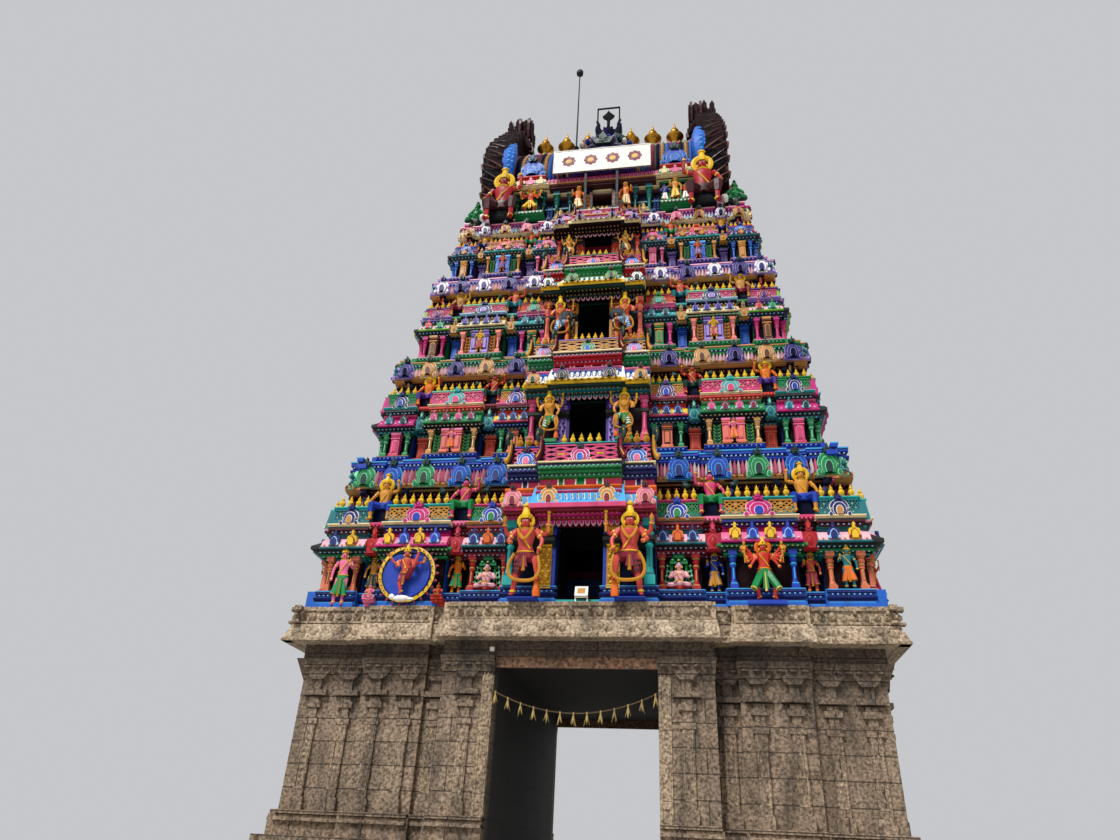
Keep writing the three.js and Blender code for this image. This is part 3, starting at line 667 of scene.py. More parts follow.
def horseshoe(width, foot, crown, toe):
    """A horseshoe outline with rolled toes, standing on its foot line."""
    return mirrored(
        [
            (toe, foot), (toe + 0.03, foot + 0.1), (toe - 0.03, foot + 0.22), (width * 0.94, foot + 0.42),
            (width * 0.84, foot + 0.6), (width * 0.5, crown - 0.08), (0.0, crown)
        ]
    )


def ogive(width, foot, crown):
    tall = crown - foot
    shape = [(0.85, 0.0), (1.0, 0.34), (0.8, 0.72), (0.0, 1.0)]
    return mirrored([(width * x, foot + tall * z) for x, z in shape])


def disc(x, z, radius, back, front, role, sides=8):
    outline = [
        (x + radius * math.cos(2 * math.pi * i / sides), z + radius * math.sin(2 * math.pi * i / sides))
        for i in range(sides)
    ]
    return plate(outline, back, front, role)


def crest_leaves(foot, width, role):
    """The leafy tuft on top of an arch: a middle leaf, two that curl out, and a bud."""
    parts = []
    for lean, reach in ((0, 1.2), (48, 0.9), (-48, 0.9)):
        leaf = plate(mirrored([(0.0, 0.0), (0.3, 0.35), (0.16, 0.7), (0.0, 1.0)]), 0.3, 0.9, role)
        parts.append(moved(leaf, (0, 0, foot), (0, math.radians(lean), 0), (width * 1.1, 1, 0.26 * reach)))
    return parts + [ball((0, -0.8, foot + 0.06), (width * 0.9, 0.5, 0.12), role)]


def omega(scale):
    """The outline of an arch that narrows under its round head and turns out in two feet."""
    half = [
        (0.3, 0.0), (0.5, 0.0), (0.52, 0.11), (0.42, 0.18), (0.36, 0.22), (0.43, 0.36), (0.43, 0.5),
        (0.34, 0.64), (0.18, 0.73), (0.0, 0.76)
    ]
    return mirrored([(x * scale, 0.4 + (z - 0.4) * scale) for x, z in half])


def round_head(width, foot, crown):
    tall = crown - foot
    half = [(0.72, 0.0), (1.0, 0.34), (0.95, 0.66), (0.56, 0.93), (0.0, 1.0)]
    return mirrored([(width * x, foot + tall * z) for x, z in half])


def big_arch():
    """A large arch: a round head and rolled feet in outlined bands, and a leafy crest."""
    parts = [
        plate(omega(1.0), 0, 0.42, "line"), plate(omega(0.91), 0.3, 0.6),
        plate(round_head(0.31, 0.08, 0.62), 0.5, 0.7, "line"),
        plate(round_head(0.275, 0.08, 0.585), 0.6, 0.82),
        plate(round_head(0.17, 0.08, 0.46), 0.7, 0.9, "line"),
        plate(round_head(0.135, 0.08, 0.425), 0.8, 1.0, "core")
    ]
    for side in (-1, 1):
        parts.append(disc(side * 0.41, 0.1, 0.11, 0.3, 0.75, "line", 8))
        parts.append(disc(side * 0.41, 0.1, 0.075, 0.5, 0.9, "body", 6))
        parts.append(ball((side * 0.36, -0.62, 0.34), (0.07, 0.3, 0.07), "line"))
    return Pattern(parts + crest_leaves(0.7, 0.24, "crest"), 0.6)


def small_arch():
    """A small roof arch with a knob on top and one scroll inside."""
    parts = [
        plate(horseshoe(0.5, 0.0, 0.72, 0.46), 0, 0.55), plate(ogive(0.33, 0.05, 0.6), 0.5, 0.75, "line"),
        plate(ogive(0.27, 0.05, 0.53), 0.7, 0.9),
        plate(mirrored([(0.14, 0.66), (0.08, 0.78), (0.13, 0.88), (0.0, 1.0)]), 0.1, 0.6)
    ]
    for side in (-1, 1):
        parts.append(disc(side * 0.4, 0.13, 0.1, 0.5, 0.8, "line", 5))
    return Pattern(parts, 0.65)


def shield_arch():
    """The tall arch over a recess: a seated hump with three lobes and a long knob."""
    parts = [
        plate(horseshoe(0.5, 0.0, 0.66, 0.44), 0, 0.5), plate(ogive(0.36, 0.04, 0.56), 0.45, 0.66, "line"),
        plate(ogive(0.3, 0.04, 0.5), 0.6, 0.85), ball((0, -0.9, 0.26), (0.26, 0.3, 0.3)),
        plate(
            mirrored([(0.0, 0.6), (0.18, 0.66), (0.1, 0.76), (0.16, 0.84), (0.07, 0.92), (0.0, 1.0)]), 0.1,
            0.6
        ),
        plate(mirrored([(0.0, 0.68), (0.08, 0.72), (0.04, 0.84), (0.0, 0.9)]), 0.5, 0.75, "line")
    ]
    return Pattern(parts)


def pot():
    """A small gilded pot finial."""
    profile = [
        (0, 0.36), (0.12, 0.22), (0.28, 0.48), (0.44, 0.48), (0.58, 0.2), (0.66, 0.32), (0.8, 0.12),
        (1.0, 0.01)
    ]
    return Pattern([turned(profile, 6)], 0.6)


def pilaster():
    """An eight-sided pilaster: block foot, ringed shaft, cushion capital and a square plate."""
    parts = [
        slab(0.46, 0.92, 0, 0.14), slab(0.36, 0.8, 0.14, 0.18, "line"),
        turned(
            [
                (0.18, 0.4), (0.24, 0.34), (0.27, 0.29), (0.56, 0.26), (0.58, 0.36), (0.61, 0.36),
                (0.63, 0.28)
            ],
            8, centre=(0, -0.42)
        ),
        turned([(0.63, 0.27), (0.65, 0.4), (0.68, 0.4), (0.7, 0.27)], 8, "line", centre=(0, -0.42)),
        turned([(0.7, 0.26), (0.74, 0.42), (0.79, 0.46), (0.83, 0.3)], 8, centre=(0, -0.42)),
        turned([(0.83, 0.3), (0.85, 0.44), (0.88, 0.48)], 8, "line", centre=(0, -0.42)),
        slab(0.5, 1.0, 0.88, 1.0), block((-0.07, -0.78, 0.27), (0.07, -0.5, 0.56), "line")
    ]
    return Pattern(parts, 0.6)


def square_pier():
    """A square pier with a sunk face, banded at its head and foot."""
    parts = [
        slab(0.5, 1.0, 0, 0.12, "body", 0.03), slab(0.42, 0.8, 0.12, 0.74),
        plate(
            mirrored([(0.0, 0.18), (0.26, 0.18), (0.26, 0.66), (0.12, 0.7), (0.0, 0.7)]), 0.75, 0.9, "line"
        ),
        plate(mirrored([(0.0, 0.22), (0.18, 0.22), (0.18, 0.62), (0.0, 0.66)]), 0.85, 0.98),
        slab(0.48, 0.95, 0.74, 0.78, "line"), slab(0.36, 0.75, 0.78, 0.84),
        slab(0.46, 0.92, 0.84, 0.9, "body", 0.02), slab(0.5, 1.0, 0.9, 1.0, "line", 0.02)
    ]
    return Pattern(parts)


def scroll_pilaster():
    """A gilded pilaster carved with a running scroll."""
    parts = [
        slab(0.5, 0.6, 0, 1.0, "line"), slab(0.5, 1.0, 0, 0.05), slab(0.5, 1.0, 0.62, 0.66, "body", 0.01),
        slab(0.5, 1.0, 0.72, 0.76, "body", 0.01), slab(0.5, 1.0, 0.86, 1.0, "body", 0.02),
        block((-0.4, -1.1, 0.89), (0.4, -0.9, 0.97), "line")
    ]
    for column in (-0.24, 0.24):
        for step in range(7):
            z = 0.09 + step * 0.08
            parts.append(ball((column + 0.06 * (-1) ** step, -0.75, z), (0.3, 0.6, 0.05)))
            parts.append(ball((column - 0.08 * (-1) ** step, -0.85, z + 0.04), (0.16, 0.5, 0.03)))
    for step in range(4):
        parts.append(ball((0, -0.75, 0.685 + step * 0.045), (0.7, 0.5, 0.03)))
    return Pattern(parts)


def pedestal():
    """The seat under a parapet figure: a beaded cushion with hanging petals."""
    parts = [slab(0.5, 1.0, 0.5, 1.0, "body", 0.1, 2), slab(0.46, 0.92, 0.0, 0.5, "rim", 0.05)]
    for step in range(7):
        x = (step - 3) * 0.15
        parts.append(ball((x, -0.95, 0.4), (0.13, 0.25, 0.5)))
    return Pattern(parts)


def leaf_scroll_panel():
    """An upright panel of curling leaves."""
    parts = [slab(0.5, 0.4, 0, 1, "back")]
    for step in range(6):
        z = 0.1 + step * 0.155
        for side in (-1, 1):
            parts.append(ball((side * 0.22, -0.5, z), (0.4, 0.7, 0.11)))
            parts.append(ball((side * 0.34, -0.62, z + 0.05), (0.18, 0.7, 0.09), "line"))
    return Pattern(parts)


def makara_bracket():
    """A water beast on the flank of a hood: a curled head and a plume that sweeps down."""
    parts = [
        tube(
            [
                (0.0, -0.1, 0.95), (0.3, -0.3, 1.0), (0.45, -0.45, 0.85), (0.3, -0.5, 0.7),
                (0.12, -0.4, 0.74)
            ],
            [0.16, 0.2, 0.17, 0.12, 0.05], "head", 8
        ),
        ball((0.33, -0.55, 0.93), (0.12, 0.14, 0.09), "line"),
        tube(
            [
                (0.1, -0.2, 0.8), (0.0, -0.25, 0.5), (0.16, -0.35, 0.25), (0.42, -0.4, 0.1),
                (0.6, -0.4, 0.24)
            ],
            [0.2, 0.19, 0.15, 0.1, 0.04], "tail", 8
        ),
        tube(
            [(-0.1, -0.2, 0.7), (-0.2, -0.25, 0.4), (-0.05, -0.35, 0.1), (0.2, -0.4, 0.0)],
            [0.14, 0.13, 0.1, 0.04], "wing", 6
        ),
        tube(
            [(0.06, -0.34, 0.75), (-0.04, -0.4, 0.5), (0.14, -0.48, 0.26), (0.38, -0.5, 0.14)], 0.03,
            "line", 4
        )
    ]
    return Pattern(parts)


def scroll_gate():
    """The niche of a small seated figure: a leafy scroll up each side, and a canopy on two posts."""
    parts = [slab(0.32, 0.7, 0.74, 0.81), slab(0.2, 0.6, 0.9, 1.0, "body", 0.02)]
    for x in (-0.22, 0, 0.22):
        parts.append(ball((x, -0.55, 0.84), (0.2, 0.5, 0.12)))
        parts.append(ball((x, -0.8, 0.84), (0.08, 0.12, 0.05), "line"))
    quarter = math.radians(90)
    for side in (-1, 1):
        parts.append(rod([(side * 0.25, -0.4, 0.0), (side * 0.25, -0.4, 0.75)], 0.03, "body", 5))
        for step in range(5):
            z = 0.08 + step * 0.14
            out = 0.44 - 0.03 * abs(step - 1)
            parts.append(
                ring((side * out, -0.35, z), 0.07, 0.026, ("body", "line")[step % 2], (quarter, 0, 0), 7)
            )
            parts.append(ball((side * (out + 0.07), -0.4, z + 0.07), (0.07, 0.3, 0.07), "line"))
    return Pattern(parts, 0.6)


def flame_leaf():
    """A broad curling leaf that ends in a point, with a raised rib."""
    half = [
        (0.0, 0.0), (0.28, 0.05), (0.5, 0.34), (0.37, 0.4), (0.47, 0.62), (0.3, 0.66), (0.3, 0.84),
        (0.0, 1.0)
    ]
    parts = [
        plate(mirrored(half), 0, 0.5, "rim"),
        plate(mirrored([(x * 0.78, 0.06 + z * 0.8) for x, z in half]), 0.4, 0.8),
        tube([(0, -0.8, 0.08), (0, -0.95, 0.4), (0, -0.8, 0.85)], [0.05, 0.06, 0.02], "rim", 4)
    ]
    return Pattern(parts)


def rosette():
    """An eight-petalled flower, the plain filling of a border or a board."""
    parts = [disc(0, 0, 0.16, 0, 1.0, "core")]
    for step in range(8):
        a = math.radians(45 * step)
        x, z = 0.31 * math.cos(a), 0.31 * math.sin(a)
        parts.append(disc(x, z, 0.14, 0, 0.7, "body", 6))
    return Pattern(parts)


# Patterns for figures. A standing figure is 1 m tall with its crown, and faces -Y.


def calm_head(middle, crown, halo=0.0):
    """A head with a quiet, even face, ear rings, hair and a crown."""
    x, y, z = middle
    parts = [
        head_ball((x, y, z), (0.1, 0.105, 0.13), "skin"),
        head_ball((x, y + 0.022, z + 0.018), (0.112, 0.1, 0.125), "hair"),
        ball((x, y - 0.054, z - 0.008), (0.018, 0.024, 0.034), "skin"),
        ball((x, y - 0.048, z - 0.035), (0.034, 0.014, 0.011), "lip"),
        turned([(z - 0.11, 0.034), (z - 0.05, 0.032)], 6, "skin", centre=(x, y + 0.008))
    ]
    for side in (-1, 1):
        parts.append(ball((x + side * 0.021, y - 0.048, z + 0.012), (0.022, 0.012, 0.014), "eye"))
        parts.append(ball((x + side * 0.021, y - 0.054, z + 0.012), (0.009, 0.006, 0.01), "dark"))
        brow = [(x + side * 0.008, y - 0.053, z + 0.029), (x + side * 0.036, y - 0.046, z + 0.026)]
        parts.append(rod(brow, 0.0035, "dark"))
        parts.append(ball((x + side * 0.056, y, z - 0.02), (0.026, 0.03, 0.05), "gold"))
    if crown == "tall":
        rings = [
            (z + 0.04, 0.064), (z + 0.07, 0.066), (z + 0.08, 0.05), (z + 0.12, 0.036), (z + 0.16, 0.028),
            (z + 0.19, 0.004)
        ]
        parts.append(turned(rings, 7, "gold", centre=(x, y)))
        parts.append(ball((x, y - 0.058, z + 0.07), (0.03, 0.014, 0.04), "gem"))
    elif crown == "spire":
        rings = [
            (z + 0.04, 0.064), (z + 0.075, 0.07), (z + 0.09, 0.048), (z + 0.17, 0.03), (z + 0.18, 0.046),
            (z + 0.195, 0.046), (z + 0.205, 0.024), (z + 0.23, 0.004)
        ]
        parts.append(turned(rings, 7, "gold", centre=(x, y)))
    else:
        parts.append(ball((x, y, z + 0.07), (0.075, 0.075, 0.055), "hair"))
        parts.append(ball((x, y, z + 0.1), (0.04, 0.04, 0.04), "gold"))
    if halo:
        angles = np.linspace(-1.05, math.pi + 1.05, 9)
        loop = [
            (x + 0.105 * halo * math.cos(a), y + 0.02, z + 0.01 + 0.115 * halo * math.sin(a))
            for a in angles
        ]
        thick = [0.012, 0.03, 0.036, 0.032, 0.026, 0.032, 0.036, 0.03, 0.012]
        parts.append(tube(loop, [radius * halo ** 2 for radius in thick], "halo", 6))
    return parts


def trunk(seat, width=1.0):
    """Chest and waist above the hips, with a necklace and a belt."""
    x, y, z = seat
    profile = [
        (0.0, 0.078), (0.05, 0.088), (0.13, 0.066), (0.22, 0.09), (0.28, 0.098), (0.305, 0.085),
        (0.325, 0.035)
    ]
    chest = turned([(z + up, r * width) for up, r in profile], 8, "skin", 0.68, (x, y))
    neck = ring((x, y - 0.012, z + 0.285), 0.06 * width, 0.012, "gold", (math.radians(-22), 0, 0))
    cord = rod(
        [(x - 0.07, y - 0.05, z + 0.28), (x, y - 0.07, z + 0.17), (x + 0.06, y - 0.06, z + 0.08)], 0.008,
        "gold"
    )
    belt = moved(ring((0, 0, 0), 0.086 * width, 0.014, "gold"), (x, y, z + 0.05), size=(1, 0.7, 1))
    return [chest, neck, cord, belt]


def midway(first, second, share=0.5):
    """A point part of the way from one to another; a share above 1 goes beyond it."""
    return tuple(a + (b - a) * share for a, b in zip(first, second))


def limb(points, thick, thin, role="skin"):
    count = len(points)
    return tube(points, [thick + (thin - thick) * i / (count - 1) for i in range(count)], role, 6)


def arm(shoulder, elbow, hand, held=None):
    """An arm with a bracelet and an armlet, and a bud, a rod or a disc in its hand."""
    parts = [
        limb([shoulder, midway(shoulder, elbow), elbow, hand], 0.031, 0.018),
        ball(hand, (0.042, 0.038, 0.05), "skin")
    ]
    for share, size in ((0.45, 0.031), (0.88, 0.026)):
        a, b = (shoulder, elbow) if share < 0.5 else (elbow, hand)
        parts.append(rod([midway(a, b, share), midway(a, b, share + 0.1)], size, "gold", 6))
    x, y, z = hand
    if held == "bud":
        profile = [(z + 0.01, 0.012), (z + 0.05, 0.028), (z + 0.1, 0.002)]
        parts.append(turned(profile, 6, "prop", centre=(x, y)))
    elif held == "rod":
        parts.append(rod([(x, y, z - 0.1), (x, y, z + 0.12)], [0.012, 0.016], "prop", 6))
        parts.append(ball((x, y, z + 0.13), (0.05, 0.05, 0.05), "gold"))
    elif held == "disc":
        parts.append(ball((x, y, z + 0.06), (0.08, 0.02, 0.08), "prop"))
    return parts


def leg(hip, knee, ankle, toe):
    x, y, z = ankle
    return [
        limb([hip, midway(hip, knee), knee, midway(knee, ankle), ankle], 0.056, 0.024),
        ball(midway(ankle, toe), (0.05, 0.11, 0.04), "skin"),
        rod([(x, y, z + 0.015), (x, y, z + 0.035)], 0.033, "gold", 6)
    ]


def hip_cloth(middle):
    return moved(turned([(-0.05, 0.085), (0.0, 0.1), (0.05, 0.09)], 8, "cloth", 0.75), middle)


def wrapped_cloth(hips, knees, long=True):
    """Cloth over the hips and down each leg, with a pleated fall in front."""
    x, y, z = hips
    parts = [hip_cloth((x, y, z))]
    for knee in knees:
        hip = (x + (knee[0] - x) * 0.3, y, z)
        below = midway(hip, knee, 1.45)
        line = [hip, knee, below] if long else [hip, midway(hip, knee), knee]
        parts.append(limb(line, 0.066, 0.05, "cloth"))
        if long:
            parts.append(rod([midway(below, knee, 0.12), below], 0.052, "trim", 6))
    drop = 0.3 if long else 0.16
    for step in (-1, 0, 1):
        foot = (x + step * 0.03, y - 0.085, z - drop + abs(step) * 0.04)
        fold = [(x + step * 0.018, y - 0.07, z), foot]
        parts.append(rod(fold, [0.013, 0.02], "cloth" if step else "trim"))
    return parts


# The share of a figure's faces that is kept on the sides and the back
LIGHT_FIGURE = 0.5


def standing_figure(left_hand, right_hand, held=("bud", None), crown="tall", sway=0.015):
    knees = [(-0.062, -0.015, 0.25), (0.07, -0.04, 0.26)]
    parts = trunk((0, 0, 0.45)) + calm_head((sway, -0.01, 0.83), crown)
    parts += leg((-0.05, 0, 0.45), knees[0], (-0.06, 0, 0.05), (-0.08, -0.07, 0.02))
    parts += leg((0.05, 0, 0.45), knees[1], (0.075, -0.01, 0.05), (0.1, -0.07, 0.02))
    parts += wrapped_cloth((0, 0, 0.44), knees)
    parts += arm((-0.105, 0, 0.725), (-0.17, -0.02, 0.59), left_hand, held[0])
    parts += arm((0.105, 0, 0.725), (0.17, -0.02, 0.59), right_hand, held[1])
    return Pattern(parts, LIGHT_FIGURE)


def door_guardian():
    """A guardian who leans on a club with one foot raised on it, and a snake looped round the knee."""
    knees = [(-0.085, -0.03, 0.25), (0.13, -0.12, 0.4)]
    parts = trunk((0, 0, 0.44), 1.12) + calm_head((-0.005, -0.02, 0.82), "spire", 0.8)
    parts += leg((-0.05, 0, 0.45), knees[0], (-0.11, -0.02, 0.05), (-0.13, -0.09, 0.02))
    parts += leg((0.05, 0, 0.45), knees[1], (0.16, -0.09, 0.2), (0.17, -0.15, 0.17))
    parts += wrapped_cloth((0, 0, 0.44), knees, long=False)
    parts += arm((-0.11, 0, 0.72), (-0.2, -0.03, 0.6), (-0.14, -0.12, 0.58))
    parts += arm((0.11, 0, 0.72), (0.2, -0.03, 0.6), (0.165, -0.11, 0.5))
    parts += arm((-0.1, 0.02, 0.74), (-0.22, 0.02, 0.67), (-0.235, -0.03, 0.8), "bud")
    parts += arm((0.1, 0.02, 0.74), (0.23, 0.02, 0.67), (0.25, -0.03, 0.8), "rod")
    snake = [
        (-0.1, -0.09, 0.46), (-0.15, -0.1, 0.38), (-0.165, -0.1, 0.27), (-0.12, -0.1, 0.19),
        (0.0, -0.12, 0.165), (0.12, -0.13, 0.17), (0.18, -0.14, 0.23), (0.19, -0.14, 0.33),
        (0.16, -0.12, 0.43)
    ]
    parts.append(tube(snake, 0.019, "snake", 6))
    parts.append(
        tube(
            [
                (-0.08, -0.06, 0.74), (-0.06, -0.1, 0.66), (0.0, -0.11, 0.6), (0.06, -0.1, 0.68),
                (0.08, -0.05, 0.75)
            ],
            0.016, "snake", 6
        )
    )
    for hip, knee in (((-0.04, 0, 0.44), knees[0]), ((0.06, 0, 0.45), knees[1])):
        for share in (0.3, 0.55, 0.8):
            start = Vector(hip).lerp(Vector(knee), share)
            end = Vector(hip).lerp(Vector(knee), share + 0.11)
            parts.append(rod([start, end], 0.064 - 0.008 * share, "stripe", 6))
    club = [(0.0, 0.05), (0.05, 0.055), (0.14, 0.035), (0.17, 0.022), (0.3, 0.018), (0.5, 0.014)]
    parts.append(moved(turned([(z + 0.01, 0.8 * r) for z, r in club], 8, "club"), (0.15, -0.08, 0)))
    return Pattern(parts, LIGHT_FIGURE)


def seated_figure(crown="tall", halo=0.0, broad=1.0):
    """A figure on a seat, knees apart and feet down, with one arm raised. The seat is at z = 0."""
    knees = [(-0.15, -0.15, 0.02), (0.15, -0.15, 0.02)]
    parts = trunk((0, 0, 0.0), broad) + calm_head((0, -0.02, 0.385), crown, halo)
    for side, hip_x, knee in ((-1, -0.05, knees[0]), (1, 0.05, knees[1])):
        ankle = (side * 0.14, -0.14, -0.23)
        parts += leg((hip_x, 0, 0.03), knee, ankle, (side * 0.17, -0.22, -0.26))
        calf = Vector(knee).lerp(Vector(ankle), 0.5)
        parts.append(limb([(hip_x, 0, 0.03), knee], 0.068, 0.052, "cloth"))
        parts.append(limb([(knee[0], knee[1], knee[2] + 0.02), calf], 0.055, 0.042, "cloth"))
        parts.append(ball(knee, (0.1, 0.1, 0.1), "cloth"))
    parts.append(hip_cloth((0, -0.01, 0.03)))
    parts += arm((-0.105 * broad, 0, 0.28), (-0.23, -0.03, 0.29), (-0.2, -0.06, 0.46))
    parts += arm((0.105 * broad, 0, 0.28), (0.2, -0.03, 0.16), (0.19, -0.13, 0.07))
    return Pattern(parts, LIGHT_FIGURE)


def seat_posts():
    """The pair of carved posts beside a seated figure: each curves out and ends in a beast's head."""
    parts = []
    for side in (-1, 1):
        spine = [
            (side * x, y, z)
            for x, y, z in ((0.36, 0, 0), (0.3, -0.02, 0.25), (0.36, -0.05, 0.5), (0.48, -0.1, 0.72))
        ]
        parts.append(tube(spine, [0.07, 0.055, 0.055, 0.07], "post" if side > 0 else "other", 5))
        parts.append(ball((side * 0.5, -0.14, 0.82), (0.2, 0.2, 0.18), "head"))
        parts.append(ball((side * 0.48, -0.24, 0.78), (0.1, 0.12, 0.09), "head"))
        parts.append(ball((side * 0.54, -0.1, 0.93), (0.13, 0.1, 0.1), "head"))
    return Pattern(parts, 0.7)


def meditating_figure():
    """A small figure with folded legs and joined hands."""
    knees = [(-0.19, -0.12, 0.03), (0.19, -0.12, 0.03)]
    parts = trunk((0, 0, 0.0)) + calm_head((0, -0.015, 0.385), "bun")
    parts += leg((-0.05, 0, 0.03), knees[0], (0.04, -0.19, 0.03), (0.1, -0.2, 0.03))
    parts += leg((0.05, 0, 0.03), knees[1], (-0.04, -0.2, 0.05), (-0.1, -0.2, 0.05))
    parts += wrapped_cloth((0, -0.01, 0.02), knees, long=False)
    parts += arm((-0.105, 0, 0.28), (-0.17, -0.05, 0.16), (-0.02, -0.14, 0.22))
    parts += arm((0.105, 0, 0.28), (0.17, -0.05, 0.16), (0.02, -0.14, 0.22))
    return Pattern(parts, LIGHT_FIGURE)


def dancing_figure():
    """A dancer with one leg lifted, standing on a small crouching figure."""
    knees = [(-0.06, -0.06, 0.33), (0.16, -0.1, 0.6)]
    parts = trunk((0, 0, 0.46)) + calm_head((0, -0.015, 0.84), "tall")
    parts += leg((-0.05, 0, 0.46), knees[0], (-0.02, -0.02, 0.17), (-0.04, -0.09, 0.14))
    parts += leg((0.05, 0, 0.46), knees[1], (0.23, -0.12, 0.84), (0.25, -0.14, 0.93))
    parts += wrapped_cloth((0, 0, 0.45), knees, long=False)
    parts += arm((-0.105, 0, 0.735), (-0.2, -0.03, 0.66), (-0.28, -0.06, 0.78), "disc")
    parts += arm((0.105, 0, 0.735), (0.2, -0.02, 0.66), (0.33, -0.04, 0.7), "bud")
    parts += arm((-0.1, -0.02, 0.73), (-0.17, -0.06, 0.6), (-0.08, -0.15, 0.62))
    parts += arm((0.1, -0.02, 0.73), (0.18, -0.06, 0.6), (0.02, -0.17, 0.56))
    parts.append(ball((0.0, -0.02, 0.07), (0.3, 0.14, 0.11), "dwarf", 2))
    parts.append(ball((-0.17, -0.03, 0.1), (0.1, 0.1, 0.1), "dwarf"))
    parts.append(ball((0.16, -0.03, 0.06), (0.14, 0.08, 0.06), "dwarf"))
    for side in (-1, 1):
        parts.append(
            tube(
                [(side * 0.06, 0, 0.86), (side * 0.17, 0.0, 0.87), (side * 0.27, 0.01, 0.82)],
                [0.02, 0.012, 0.005], "hair", 4
            )
        )
    return Pattern(parts)


def many_armed_figure():
    """A figure with ten arms spread like a fan, each with something in its hand."""
    knees = [(-0.14, -0.08, 0.25), (0.14, -0.08, 0.25)]
    parts = trunk((0, 0, 0.45), 1.1) + calm_head((0, -0.015, 0.83), "tall", 1.0)
    parts += leg((-0.05, 0, 0.45), knees[0], (-0.1, -0.01, 0.05), (-0.15, -0.07, 0.02))
    parts += leg((0.05, 0, 0.45), knees[1], (0.12, -0.01, 0.05), (0.17, -0.07, 0.02))
    parts += wrapped_cloth((0, 0, 0.44), knees)
    held = ("bud", "disc", "rod", "bud", None)
    for row in range(5):
        rise = 0.2 - row * 0.09
        reach = 0.31 - abs(row - 1) * 0.03
        for side in (-1, 1):
            elbow = (side * reach * 0.62, 0.01 - row * 0.012, 0.68 + rise * 0.2)
            hand = (side * reach, -0.03 - row * 0.02, 0.66 + rise)
            parts += arm((side * 0.1, 0.01 - row * 0.01, 0.72 - row * 0.012), elbow, hand, held[row])
    return Pattern(parts)


def crouching_lion():
    """A small beast at the corner of a cornice, head raised."""
    parts = [
        ball((0, -0.35, 0.32), (0.5, 0.9, 0.5), "body", 2),
        ball((0, -0.82, 0.62), (0.36, 0.4, 0.42), "body", 2),
        ball((0, -1.02, 0.56), (0.2, 0.22, 0.18), "line"),
        tube(
            [(0, 0.05, 0.3), (0, 0.2, 0.6), (0, 0.05, 0.9), (0, -0.1, 0.75)], [0.08, 0.07, 0.06, 0.03],
            "body", 6
        )
    ]
    for side in (-1, 1):
        parts.append(ball((side * 0.16, -0.8, 0.84), (0.12, 0.12, 0.2), "line"))
        parts.append(
            limb(
                [(side * 0.18, -0.7, 0.3), (side * 0.2, -0.85, 0.15), (side * 0.2, -0.9, 0.0)], 0.1, 0.08,
                "body"
            )
        )
        parts.append(ball((side * 0.1, -0.99, 0.7), (0.08, 0.06, 0.08), "line"))
    return Pattern(parts)


# The tower's levels and half widths, the same as in the solids, in metres

PLAN_DIFFERENCE = 2.4
LEVELS = "floor plinth soffit eave eave_top shelf parapet soffit2 cornice shoulder slab"
WIDTHS = "plinth_w face_w eave_w neck_w shelf_w parapet_w upper_w cornice_w shoulder_w slab_w inner_w"
DOORS = "door_half door_top bay_half bay_reach hood_top balcony rail"
Storey = namedtuple("Storey", f"{LEVELS} {WIDTHS} {DOORS} scale")
# A storey's carving is sized by its height. The scale of the first storey is 1.
FIRST_STOREY_TALL = 3.67
STOREY_ROWS = [
    ((5.95, 6.31, 7.1, 7.24, 7.56, 7.75, 8.22, 8.78, 8.86, 9.35, 9.62),
     (5.9, 5.66, 6.0, 5.7, 5.85, 5.8, 5.12, 5.5, 5.25, 5.4, 4.55),
     (0.49, 7.7, 1.55, 0.45, 8.38, 8.82, 9.36)),
    ((9.62, 9.83, 10.46, 10.6, 10.9, 11.09, 11.54, 12.06, 12.13, 12.48, 12.7),
     (5.28, 5.12, 5.4, 5.15, 5.28, 5.23, 4.72, 5.09, 4.85, 4.98, 4.2),
     (0.43, 11.06, 1.42, 0.4, 11.7, 12.04, 12.51)),
    ((12.7, 12.95, 13.66, 13.8, 14.06, 14.22, 14.59, 15.13, 15.2, 15.55, 15.76),
     (4.87, 4.68, 4.92, 4.7, 4.79, 4.74, 4.3, 4.61, 4.4, 4.49, 3.8),
     (0.41, 14.35, 1.3, 0.35, 14.82, 15.14, 15.6)),
    ((15.76, 16.0, 16.62, 16.76, 16.9, 16.96, 17.22, 17.64, 17.7, 18.0, 18.2),
     (4.42, 4.26, 4.46, 4.28, 4.35, 4.3, 3.9, 4.17, 4.0, 4.09, 3.45),
     (0.38, 16.94, 1.18, 0.3, 17.22, 17.35, 17.72)),
]
STOREYS = [
    Storey(*levels, *widths, *doors, (levels[-1] - levels[0]) / FIRST_STOREY_TALL)
    for levels, widths, doors in STOREY_ROWS
]
BAY_ENDS = (
    ("narrow", 0.433, 0.0), ("recess", 0.525, -0.3), ("long", 0.769, 0.12), ("outer_recess", 0.859, -0.3)
)
SIDE_RECESS = 0.45
NECK_FOOT = 18.2
NECK_HALF = 2.95
ROOF_SPRINGING = 20.1
ROOF_CROWN = 22.7
ROOF_HALF = 1.44

# How far out carving may reach on the long faces and on the short ones
OUTER_LIMIT = {PLAN_DIFFERENCE: 4.315, 0.0: 6.252}
# Faces of the tower: how far each is turned from the front, and what its plan takes off the half width
FACES = {
    "front": (0, PLAN_DIFFERENCE), "right": (90, 0.0), "back": (180, PLAN_DIFFERENCE), "left": (270, 0.0)
}


def placed(where, turn=0.0, axis="Z", size=(1, 1, 1)):
    """A place in the tower's own directions, turned about one axis and then sized."""
    sized = Matrix.Diagonal((*size, 1))
    return Matrix.Translation(where) @ Matrix.Rotation(turn, 4, axis) @ sized


